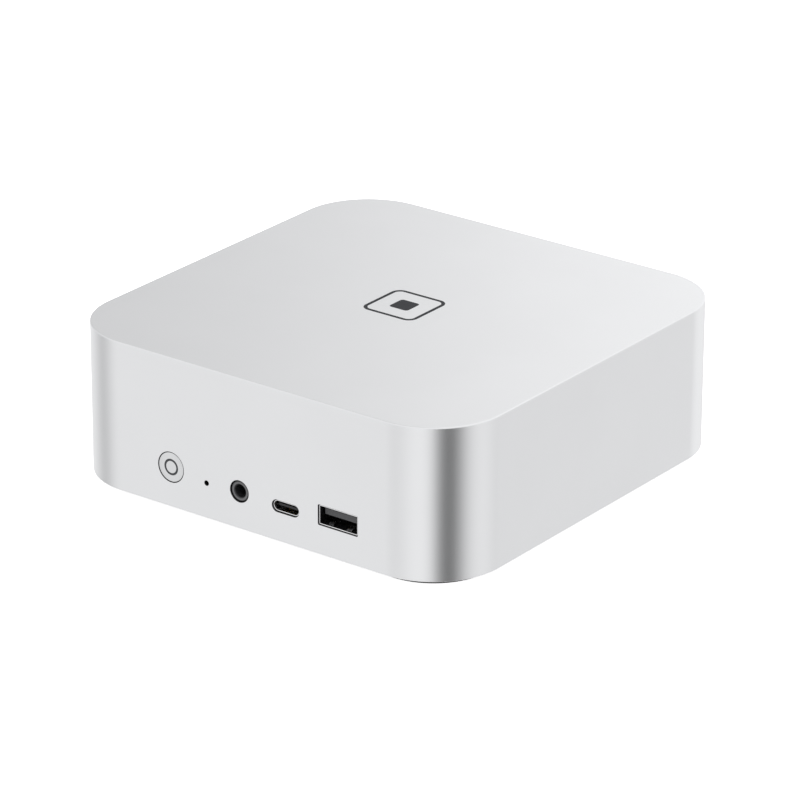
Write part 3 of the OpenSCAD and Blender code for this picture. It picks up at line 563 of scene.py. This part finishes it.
def audio_jack():
    """Nose ring in the wall, bore, and the body behind it."""
    bm = bmesh.new()
    nose_r, nose_back = 3.0, 1.95
    bore_r, depth = mount_size("front_audio_jack", "r_mm"), mount_size("front_audio_jack", "length_mm")
    profile = [(bore_r, depth), (bore_r, 0.45), (bore_r + 0.08, 0.2)]
    profile += [(bore_r + 0.2, 0.08), (bore_r + 0.3, 0.04)]
    profile += [(nose_r + grow, d) for grow, d in outer_edge(0.22)] + [(nose_r, nose_back)]
    profile += [(bore_r + 0.3, nose_back), (bore_r + 0.3, depth + 0.3)]
    turned(bm, FRONT, JACK, profile, 20)
    trim = bmesh.new()
    turned(trim, FRONT, JACK, [(2.12, 0.1), (2.14, 0), (2.68, 0), (2.74, 0.06), (2.74, 0.1)], 20, loop=True)
    piece("front_jack_trim", trim, "jack_plastic")
    body = bmesh.new()
    lowest, highest = low("front_audio_jack"), high("front_audio_jack")
    block(body, (lowest.x, -HALF + WALL + 0.1, lowest.z), highest, 0.2)
    bore = bmesh.new()
    swept(bore, FRONT, JACK, (bore_r + 0.25,) * 3, [(0, -1), (0, depth)], 16)
    piece("front_jack_body", body, "socket_plastic", cutters=bore)
    piece("front_jack_nose", bm, "socket_plastic", nodes=["front_audio_jack"])


def leaf(bm, axes, at, width, start, length, bulge):
    """A sprung leaf: a strip that bulges away from the wall it is cut from."""
    across, up, inwards = axes
    thick, steps = 0.12, 8
    top, bottom = [], []
    for k in range(steps + 1):
        t = k / steps
        rise = bulge * math.sin(math.pi * t) ** 0.8
        top.append((start + length * t, rise))
        bottom.append((start + length * t, rise - thick))
    outline = top + bottom[::-1]
    loft(bm, [[Vector(at) + across * x + up * rise + inwards * depth for depth, rise in outline]
              for x in (-width / 2, width / 2)])


def flip(axes):
    """The same directions turned over, so that up points down."""
    across, up, inwards = axes
    return -across, -up, inwards


def socket_a(bm, axes, at, length):
    """Steel sleeve of a large flat socket, with two sprung leaves above and below."""
    shape = (6.55, 2.85, 0.4)
    swept(bm, axes, at, shape, sleeve(length, SHEET), 4, loop=True)
    across = axes[0]
    for way in (axes, flip(axes)):
        wall = Vector(at) - way[1] * (shape[1] - SHEET)
        for side in (-3.1, 3.1):
            leaf(bm, way, wall + across * side, 1.7, 0.5, 3.6, 0.55)


def tongue_a(bm, axes, at, start, back):
    """Insert of a large flat socket."""
    up, inwards = axes[1:]
    spot = Vector(at) + up * 0.82 + inwards * start
    swept(bm, axes, spot, (5.55, 0.92, 0.2), plug(back - start, 0.18), 3)


def contacts_a(bm, axes, at, start):
    """Four contact blades under the insert and five sprung ones behind them."""
    across, up, inwards = axes
    under = Vector(at) - up * 0.1
    for x in (-3.5, -1, 1, 3.5):
        spot = under + across * x + inwards * (start + 0.7)
        swept(bm, axes, spot, (0.5, 0.06, 0.05), plug(5.2, 0.03), 2)
    for x in (-4, -2, 0, 2, 4):
        leaf(bm, flip(axes), under + across * x, 0.5, start + 6.2, 2.2, 0.3)


def socket_c(bm, axes, at, length):
    """Steel sleeve of a small reversible socket."""
    swept(bm, axes, at, (4.47, 1.63, 1.63), sleeve(length, SHEET), 12, loop=True)


def tongue_c(bm, axes, at, start, back):
    """Thin insert of a small reversible socket, and the base that it stands on."""
    inwards = axes[2]
    swept(bm, axes, Vector(at) + inwards * start, (3.345, 0.35, 0.15), plug(back - start, 0.14), 3)
    swept(bm, axes, Vector(at) + inwards * (back - 2.2), (4.15, 1.3, 1.25), plug(2.2, 0.1), 8)


def contacts_c(bm, axes, at, start):
    """Twelve contacts on each side of the tongue."""
    across, up, inwards = axes
    for way in (1, -1):
        for k in range(12):
            spot = Vector(at) + across * (k - 5.5) * 0.5 + up * way * 0.35 + inwards * (start + 0.9)
            swept(bm, axes, spot, (0.125, 0.03, 0.03), plug(2.9, 0.02), 2)


def inside_sleeve(spot, face, half):
    """True on a sleeve's inner walls, which take painted shade, but not on its lip or its sprung leaves."""
    x, z = abs(spot.x - face.x), abs(spot.z - face.z)
    on_wall = x > half[0] - 0.1 or z > half[1] - 0.1
    return on_wall and x < half[0] and z < half[1] and abs(spot.y - face.y) > 0.1


def front_face(node):
    """Middle of a front socket's outer face."""
    at = middle(node)
    at.y = low(node).y
    return at


def insert_base(bm, node, face, depth):
    """The block behind a sleeve of the given depth, which carries the insert."""
    lowest, highest = low(node), high(node)
    block(bm, (lowest.x, face.y + depth, lowest.z), highest, 0.15)


def front_flat_socket():
    bright, insert, gold = bmesh.new(), bmesh.new(), bmesh.new()
    face = front_face("front_usb_a_shell")
    depth = high("front_usb_a_shell").y - face.y
    start = low("front_usb_a_tongue").y - face.y
    socket_a(bright, FRONT, face, depth)
    tongue_a(insert, FRONT, face, start, depth + PAST)
    insert_base(insert, "front_usb_a_tongue", face, depth)
    contacts_a(gold, FRONT, face, start)
    flat = piece("front_flat_socket_sleeve", bright, "port_steel", nodes=["front_usb_a_shell"],
                 finish="polished_steel")
    # The sleeve's inner walls are painted dark: painted shade.
    paint_shade(flat, lambda spot, normal: inside_sleeve(spot, face, (6.3, 2.6)))
    piece("front_flat_socket_insert", insert, "port_insert", nodes=["front_usb_a_tongue"])
    piece("front_flat_socket_contacts", gold, "port_steel", finish="contact_gold")


def front_small_socket():
    bright, insert, gold = bmesh.new(), bmesh.new(), bmesh.new()
    face = front_face("front_usb_c_shell")
    depth = high("front_usb_c_shell").y - face.y
    start = low("front_usb_c_tongue").y - face.y
    socket_c(bright, FRONT, face, depth)
    tongue_c(insert, FRONT, face, start, depth)
    insert_base(insert, "front_usb_c_tongue", face, depth)
    contacts_c(gold, FRONT, face, start)
    small = piece("front_small_socket_sleeve", bright, "port_steel", nodes=["front_usb_c_shell"],
                  finish="polished_steel")
    # The sleeve's inner walls are painted dark: painted shade.
    paint_shade(small, lambda spot, normal: inside_sleeve(spot, face, (4.3, 1.45)))
    piece("front_small_socket_insert", insert, "socket_plastic", nodes=["front_usb_c_tongue"])
    piece("front_small_socket_contacts", gold, "port_steel", finish="contact_gold")


# ---------------------------------------------------------------- rear panel and ports
PANEL_FACE_Y = high("rear_panel").y
PANEL_HALF = (45.6, 18.5)
PANEL_MID = RIM_Z + 22.5
PORT_GAP = 0.15
VENT_COUNT = 22
VENT_PITCH = 3.6
VENT_HALF = (1.1, 6.25)
VENT_MID = RIM_Z + 32.75
REAR_BOXES = (
    "rear_usb_a_shells", "rear_video_port_1", "rear_video_port_2", "rear_network_port", "power_inlet",
)
REAR_FLAT_SOCKETS = ("rear_usb_a_lower", "rear_usb_a_upper")
FLAT_SOCKET_DEPTH = 12


def port_face(node):
    """Middle of a rear port's outer face."""
    at = middle(node)
    at.y = high(node).y
    return at


def on_panel(at):
    return Vector((at.x, PANEL_FACE_Y, at.z))


def rear_panel():
    """Plastic panel with soft edges, openings for the ports, and a row of upright vent slots."""
    bm = bmesh.new()
    skin, wall = 1.6, 1.35
    face = Vector((0, PANEL_FACE_Y, PANEL_MID))
    shape = (PANEL_HALF[0] - 0.25, PANEL_HALF[1] - 0.25, 2.75)
    depth = PANEL_FACE_Y - low("rear_panel").y
    profile = [(-wall, skin), (-wall, depth), (0, depth)] + outer_edge(0.25)[::-1]
    swept(bm, REAR, face, shape, profile, 8)
    cutters = bmesh.new()
    panel_cutters(cutters, skin + 0.5)
    piece("rear_panel_skin", bm, "rear_plastic", nodes=["rear_panel"], cutters=cutters)
    lip = bmesh.new()
    lip_low, lip_high = low("rear_panel"), high("rear_panel")
    lip_half = ((lip_high.x - lip_low.x) / 2, (lip_high.z - lip_low.z) / 2, 1.0)
    lip_mid = Vector((0, lip_low.y + 1.1, (lip_low.z + lip_high.z) / 2))
    swept(lip, REAR, lip_mid, lip_half, [(0, 1.1), (0, 0), (-2.5, 0), (-2.5, 1.1)], 4, loop=True)
    piece("rear_panel_lip", lip, "rear_plastic")


def panel_cutters(bm, depth):
    """Openings for the ports, and the vent's slots."""
    for node in REAR_BOXES:
        size = half_size(node)
        shape = (size.x + PORT_GAP, size.z + PORT_GAP, 0.3)
        swept(bm, REAR, on_panel(port_face(node)), shape, hole(depth, LIP), 4)
    size = half_size("rear_usb_c_shell")
    r = size.z + PORT_GAP
    swept(bm, REAR, on_panel(port_face("rear_usb_c_shell")), (size.x + PORT_GAP, r, r), hole(depth, LIP), 10)
    for i in range(VENT_COUNT):
        at = Vector(((i - (VENT_COUNT - 1) / 2) * VENT_PITCH, PANEL_FACE_Y, VENT_MID))
        swept(bm, REAR, at, (*VENT_HALF, VENT_HALF[0]), hole(depth, 0.2), 6)


def rear_blocks():
    """The steel bodies of the rear ports, with their mouths cut."""
    stack, stack_cut = bmesh.new(), bmesh.new()
    at = port_face("rear_usb_a_shells")
    size = half_size("rear_usb_a_shells")
    swept(stack, REAR, at, (size.x, size.z, 0.25), plug(2 * size.y, LIP), 3)
    for name in REAR_FLAT_SOCKETS:
        mouth = Vector((at.x, at.y, mount_place(name).z))
        swept(stack_cut, REAR, mouth, (6.25, 2.55, 0.15), hole(FLAT_SOCKET_DEPTH, 0.1), 3)
    # The walls of the flat sockets' mouths take a dark metal: painted shade.
    piece("rear_flat_socket_stack", stack, "port_steel", nodes=["rear_usb_a_shells"], cutters=stack_cut,
          wall="shaded_metal")

    small = bmesh.new()
    socket_c(small, REAR, port_face("rear_usb_c_shell"), 2 * half_size("rear_usb_c_shell").y)
    piece("rear_small_socket_sleeve", small, "port_steel", nodes=["rear_usb_c_shell"])
    video_port("rear_video_port_1", 0.1, 1.8)
    video_port("rear_video_port_2", 1.6, 1.6)
    network_port()
    power_inlet()


def cut_corners(w, h, left, right):
    """Outline of a rectangle whose two lower corners are cut off."""
    return [(w - left, -h), (w, left - h), (w, h), (-w, h), (-w, right - h), (right - w, -h)]


def video_port(node, cut_left, cut_right):
    """Steel body of a video socket; its mouth has cut lower corners and a small step round it."""
    bm, mouth, step = bmesh.new(), bmesh.new(), bmesh.new()
    at, size, skin, ledge = port_face(node), half_size(node), 0.6, 0.1
    swept(bm, REAR, at, (size.x, size.z, 0.3), plug(2 * size.y, LIP), 3)
    w, h = size.x - skin, size.z - skin
    prism(mouth, REAR, at, cut_corners(w, h, cut_left, cut_right), (-PAST, 10))
    prism(step, REAR, at, cut_corners(w + ledge, h + ledge, cut_left, cut_right), (-PAST, ledge))
    # The mouth's cut walls take a dark metal: painted shade.
    obj = piece(node + "_body", bm, "port_steel", nodes=[node], cutters=mouth, wall="shaded_metal")
    cut(obj, step)


def network_port():
    """Thin steel cage round a plastic socket with its mouth, the latch's notch, and eight contact wires."""
    cage, bm, mouth = bmesh.new(), bmesh.new(), bmesh.new()
    at, size, skin = port_face("rear_network_port"), half_size("rear_network_port"), 0.35
    swept(cage, REAR, at, (size.x, size.z, 0.5), sleeve(2 * size.y, skin), 4, loop=True)
    piece("rear_network_cage", cage, "port_steel")
    recessed = at - Vector((0, skin, 0))
    swept(bm, REAR, recessed, (size.x - skin, size.z - skin, 0.2), plug(2 * size.y - skin, 0.1), 4)
    notch_depth, mouth_half = 3.2, 4
    centre_z = low("rear_network_port").z + notch_depth + mouth_half
    opening = [(5.9, 4), (-5.9, 4), (-5.9, -4), (-3.1, -4), (-3.1, -6.4), (3.1, -6.4), (3.1, -4), (5.9, -4)]
    prism(mouth, REAR, (at.x, at.y, centre_z), opening, (-PAST, 11.5))
    piece("rear_network_socket", bm, "socket_plastic", nodes=["rear_network_port"], cutters=mouth)
    wires = bmesh.new()
    wire_pitch = 1.02
    outline = [(-0.15, 0.12), (0.15, 0.12), (0.15, -0.12), (-0.15, -0.12)]
    for k in range(8):
        x = at.x + (k - 3.5) * wire_pitch
        front_at, back_at = Vector((x, at.y - 3.2, centre_z + 3.4)), Vector((x, at.y - 9.5, centre_z + 0.6))
        loft(wires, [[spot + Vector((px, 0, pz)) for px, pz in outline] for spot in (front_at, back_at)])
    piece("rear_network_contacts", wires, "port_steel", finish="contact_gold")


def power_inlet():
    """Round power inlet: a plastic body, its bore, and the pin in it."""
    bm, bore, pin = bmesh.new(), bmesh.new(), bmesh.new()
    at, size = port_face("power_inlet"), half_size("power_inlet")
    mouth = Vector((at.x, at.y, mount_place("power_inlet_socket").z))
    swept(bm, REAR, at, (size.x, size.z, 0.4), plug(2 * size.y, 0.2), 4)
    bore_r, bore_depth = 3.2, 9.5
    swept(bore, REAR, mouth, (bore_r,) * 3, hole(bore_depth, 0.3), 16)
    piece("rear_inlet_body", bm, "rear_plastic", nodes=["power_inlet"], cutters=bore)
    profile = [(0.5, 0.8), (1.0, 0.92), (1.25, 1.3), (1.25, 10)]
    turned(pin, REAR, mouth, profile)
    piece("rear_inlet_pin", pin, "port_steel")


def rear_tongues():
    """Inserts and contacts of the rear sockets."""
    insert, gold = bmesh.new(), bmesh.new()
    flat_start, small_start, video_depth = 1.4, 1, 10
    at = port_face("rear_usb_a_shells")
    for name in REAR_FLAT_SOCKETS:
        mouth = Vector((at.x, at.y, mount_place(name).z))
        tongue_a(insert, REAR, mouth, flat_start, FLAT_SOCKET_DEPTH)
        contacts_a(gold, REAR, mouth, flat_start)
    small = port_face("rear_usb_c_shell")
    depth = 2 * half_size("rear_usb_c_shell").y
    tongue_c(insert, REAR, small, small_start, depth)
    contacts_c(gold, REAR, small, small_start)
    for node, half_w, half_h, rise, start in (
        ("rear_video_port_1", 6.2, 0.7, 0.75, 1.6), ("rear_video_port_2", 5.8, 0.5, 0.45, 1.4)
    ):
        face = port_face(node)
        spot = Vector((face.x, face.y - start, face.z + rise))
        swept(insert, REAR, spot, (half_w, half_h, 0.2), plug(video_depth - start, 0.18), 3)
        for k in range(10):
            blade = spot + Vector(((k - 4.5) * half_w * 0.18, -0.5, -half_h))
            swept(gold, REAR, blade, (0.22, 0.05, 0.04), plug(4, 0.03), 2)
    piece("rear_socket_inserts", insert, "socket_plastic", nodes=["rear_port_tongues"])
    piece("rear_socket_contacts", gold, "port_steel", finish="contact_gold")


# ---------------------------------------------------------------- underside
def base_cover():
    """Plastic cover with intake slots and counterbored screw holes."""
    bm, cutters = bmesh.new(), bmesh.new()
    lowest, highest = low("base_cover"), high("base_cover")
    thick = highest.z - lowest.z
    half = half_size("base_cover").x
    corner_r = 19.2
    swept(bm, UNDER, (0, 0, lowest.z), (half, half, corner_r), plug(thick, 0.3), 24)
    column_pitch, row_pitch, rows = 14, 4, 14
    for column in (-2, -1, 0, 1, 2):
        for row in range(rows):
            at = (column * column_pitch, (row - (rows - 1) / 2) * row_pitch, lowest.z)
            swept(cutters, UNDER, at, (6, 1, 1), hole(thick + 1, 0.15), 6)
    for x, y in screw_corners():
        profile = [(2.65, -1), (2.65, 0), (2.5, 0.15), (2.5, 1.2), (1.2, 1.2), (1.2, thick + 1)]
        turned(cutters, UNDER, (x, y, lowest.z), profile)
    piece("base_cover_plate", bm, "base_plastic", nodes=["base_cover"], cutters=cutters)


def screw_corners():
    reach = high("base_cover_screws").x - SCREW_HEAD_R
    return [(sx * reach, sy * reach) for sx in (-1, 1) for sy in (-1, 1)]


def six_lobes(r, lobe):
    """Outline of a six-lobed driver recess."""
    steps, points = 48, []
    for k in range(steps):
        a = 2 * math.pi * k / steps
        reach = r + lobe * math.cos(6 * a)
        points.append((reach * math.cos(a), reach * math.sin(a)))
    return points


def cover_screws():
    """Pan-head screws with a six-lobed recess."""
    bm, cutters = bmesh.new(), bmesh.new()
    lowest, highest = low("base_cover_screws"), high("base_cover_screws")
    length = highest.z - lowest.z
    head_h = 1.1
    head = [(SCREW_HEAD_R + grow, depth) for grow, depth in outer_edge(0.35)]
    profile = head + [(SCREW_HEAD_R, head_h), (SCREW_R, head_h), (SCREW_R, length - 0.3), (0.6, length)]
    for x, y in screw_corners():
        turned(bm, UNDER, (x, y, lowest.z), profile)
        prism(cutters, UNDER, (x, y, lowest.z), six_lobes(0.95, 0.16), (-PAST, 0.75))
    piece("base_screws", bm, "screw_steel", nodes=["base_cover_screws"], cutters=cutters)


def foot():
    """Rubber ring that the computer stands on, with a shallow groove round it."""
    bm = bmesh.new()
    half, height, width = half_size("foot_ring").x, high("foot_ring").z, 5
    groove = [(-width / 2 + grow, depth) for grow, depth in ((0.5, 0), (0.3, 0.25), (-0.3, 0.25), (-0.5, 0))]
    profile = [(0, height)] + outer_edge(0.04)[::-1] + groove
    profile += inner_edge(0.3, grow=-width) + [(-width, height)]
    swept(bm, UNDER, (0, 0, 0), (half, half, CORNER_R - (HALF - half)), profile, 24, loop=True)
    piece("foot", bm, "foot_rubber", nodes=["foot_ring"])


def filter_weave():
    """Woven dust filter: two layers of fine strands inside a flat border."""
    bm = bmesh.new()
    half, mid_z = half_size("dust_filter"), middle("dust_filter").z
    border = [(0, 0), (-1.5, 0), (-1.5, 0.3), (0, 0.3)]
    swept(bm, UNDER, (0, 0, low("dust_filter").z), (half.x, half.y, 3), border, 6, loop=True)
    pitch, strand, thick, inset = 1.25, 0.22, 0.14, 1
    for k in range(int(2 * half.x / pitch) - 1):
        x = -half.x + (k + 1) * pitch
        strip(bm, (x - strand, -half.y + inset, mid_z - thick), (x + strand, half.y - inset, mid_z))
    for k in range(int(2 * half.y / pitch) - 1):
        y = -half.y + (k + 1) * pitch
        strip(bm, (-half.x + inset, y - strand, mid_z), (half.x - inset, y + strand, mid_z + thick))
    piece("filter_weave", bm, "filter_mesh", nodes=["dust_filter"])


def strip(bm, lowest, highest):
    """A plain flat strand."""
    (x0, y0, z0), (x1, y1, z1) = lowest, highest
    loft(bm, [[(x0, y0, z), (x1, y0, z), (x1, y1, z), (x0, y1, z)] for z in (z0, z1)])


# ---------------------------------------------------------------- the rest of the CAD nodes
def dress_frame():
    """Gives every CAD node its own finish; the ones that a piece stands for aren't shown."""
    for name, node in NODES.items():
        dress(node, SLOT_OF[name])


# ---------------------------------------------------------------- studio
FLOOR_GAP = 0.05
# (azimuth in degrees from the front, brightness) stops of the tent's wall and of its roof
WALL_PLAN = (
    (-180, 0.95), (-160, 0.86), (-143, 0.93), (-125, 1.00), (-100, 0.90), (-86, 0.72), (-74, 0.48),
    (-64, 0.60), (-52, 0.84), (-38, 0.98), (-25, 0.76), (-12, 0.78), (3, 0.92), (22, 1.01), (34, 1.0),
    (42, 0.33), (50, 0.0), (64, 0.0), (74, 0.38), (86, 0.80), (104, 0.93), (120, 0.86), (143, 0.70),
    (157, 1.0), (180, 0.95),
)
ROOF_PLAN = (
    (-180, 1.0), (-170, 1.12), (-150, 1.09), (-146, 1.05), (-142, 0.72), (-130, 0.56), (-100, 0.8),
    (-37, 0.95), (40, 0.95), (100, 0.95), (150, 1.0), (180, 1.0),
)


def planned(plan, azimuth):
    """Brightness at an azimuth, eased between the plan's (azimuth, brightness) stops."""
    for (a, first), (b, second) in zip(plan, plan[1:]):
        if a <= azimuth <= b:
            t = (azimuth - a) / (b - a)
            return first + (second - first) * t * t * (3 - 2 * t)
    return plan[-1][1]


def glow_material():
    """Emission as strong as the mesh's glow attribute says."""
    material = bpy.data.materials.new("tent_glow")
    material.use_nodes = True
    tree = material.node_tree
    tree.nodes.clear()
    out = tree.nodes.new("ShaderNodeOutputMaterial")
    glow = tree.nodes.new("ShaderNodeEmission")
    level = tree.nodes.new("ShaderNodeAttribute")
    level.attribute_name = "glow"
    tree.links.new(level.outputs["Fac"], glow.inputs["Strength"])
    tree.links.new(glow.outputs["Emission"], out.inputs["Surface"])
    material.cycles.emission_sampling = "NONE"
    return material


def light_tent():
    """A large sphere that only reflections see, bright all round but for a dark strip at the side."""
    radius = 4
    bm = bmesh.new()
    bmesh.ops.create_uvsphere(bm, u_segments=180, v_segments=60, radius=radius)
    mesh = bpy.data.meshes.new("light_tent")
    bm.to_mesh(mesh)
    bm.free()
    glow = mesh.attributes.new("glow", "FLOAT", "POINT")
    for i, vertex in enumerate(mesh.vertices):
        azimuth = math.degrees(math.atan2(vertex.co.x, -vertex.co.y))
        t = min(1, max(0, (vertex.co.z / radius + 0.1) / 0.2))
        glow.data[i].value = planned(WALL_PLAN, azimuth) * (1 - t) + planned(ROOF_PLAN, azimuth) * t
    tent = bpy.data.objects.new("light_tent", mesh)
    bpy.context.scene.collection.objects.link(tent)
    mesh.materials.append(glow_material())
    tent.visible_camera = False
    tent.visible_diffuse = False
    tent.visible_transmission = False
    tent.visible_shadow = False


def one_sided_floor():
    """Pale from above and clear from below, so that the underside can be looked at."""
    material, tree, shader = new_material("pale_floor", (0.82, 0.82, 0.82), 0.0, 0.9)
    shader.inputs["Specular IOR Level"].default_value = 0.0
    shader.inputs["Emission Color"].default_value = (1, 1, 1, 1)
    shader.inputs["Emission Strength"].default_value = 0.88
    side = tree.nodes.new("ShaderNodeNewGeometry")
    clear = tree.nodes.new("ShaderNodeBsdfTransparent")
    mix = tree.nodes.new("ShaderNodeMixShader")
    tree.links.new(side.outputs["Backfacing"], mix.inputs["Fac"])
    tree.links.new(shader.outputs["BSDF"], mix.inputs[1])
    tree.links.new(clear.outputs["BSDF"], mix.inputs[2])
    tree.links.new(mix.outputs["Shader"], tree.nodes["Material Output"].inputs["Surface"])
    return material


def floor():
    """The floor lies a hair below the foot, so that the two never coincide."""
    bm = bmesh.new()
    bmesh.ops.create_circle(bm, cap_ends=True, segments=96, radius=14)
    mesh = bpy.data.meshes.new("floor")
    bm.to_mesh(mesh)
    bm.free()
    plane = bpy.data.objects.new("floor", mesh)
    bpy.context.scene.collection.objects.link(plane)
    plane.location.z = -FLOOR_GAP * MM
    mesh.materials.append(one_sided_floor())
    plane.visible_glossy = False
    plane.visible_diffuse = False


def area_light(name, place, size, power):
    """A round soft light that points at the origin."""
    data = bpy.data.lights.new(name, "AREA")
    data.shape = "DISK"
    data.size = size
    data.energy = power
    lamp = bpy.data.objects.new(name, data)
    bpy.context.scene.collection.objects.link(lamp)
    lamp.location = place
    lamp.rotation_euler = (-Vector(place)).to_track_quat("-Z", "Y").to_euler()
    lamp.visible_glossy = False
    lamp.visible_camera = False


def world():
    sky = bpy.data.worlds.new("studio")
    bpy.context.scene.world = sky
    sky.use_nodes = True
    back = sky.node_tree.nodes["Background"]
    back.inputs["Color"].default_value = (1, 1, 1, 1)
    back.inputs["Strength"].default_value = 1.0


def camera():
    """The photograph's viewpoint, as azimuth, elevation, roll and distance from the shell's centre."""
    azimuth, elevation, roll = math.radians(36.847), math.radians(22.701), math.radians(0.174)
    distance = 1.31246
    level = math.cos(elevation)
    back = Vector((math.sin(azimuth) * level, -math.cos(azimuth) * level, math.sin(elevation)))
    right = Vector((math.cos(azimuth), math.sin(azimuth), 0))
    up = back.cross(right)
    right, up = right * math.cos(roll) + up * math.sin(roll), up * math.cos(roll) - right * math.sin(roll)
    data = bpy.data.cameras.new("camera")
    data.sensor_width = 36
    data.lens = 210.48
    data.shift_x = 0.0006
    data.shift_y = -0.02487
    data.clip_start = 0.05
    data.clip_end = 60
    cam = bpy.data.objects.new("camera", data)
    bpy.context.scene.collection.objects.link(cam)
    place = Vector((0, 0, (RIM_Z + TOP_Z) / 2 * MM)) + back * distance
    columns = (right, up, back, place)
    cam.matrix_world = Matrix([[column[row] for column in columns] for row in range(3)] + [(0, 0, 0, 1)])
    bpy.context.scene.camera = cam


# ---------------------------------------------------------------- build
dress_frame()
shell()
shell_columns()
power_button()
audio_jack()
front_flat_socket()
front_small_socket()
rear_panel()
rear_blocks()
rear_tongues()
base_cover()
cover_screws()
foot()
filter_weave()

bpy.context.scene.view_settings.view_transform = "Standard"
camera()
world()
floor()
light_tent()
area_light("overhead", (0.3, -0.4, 2.0), 1.8, 25)
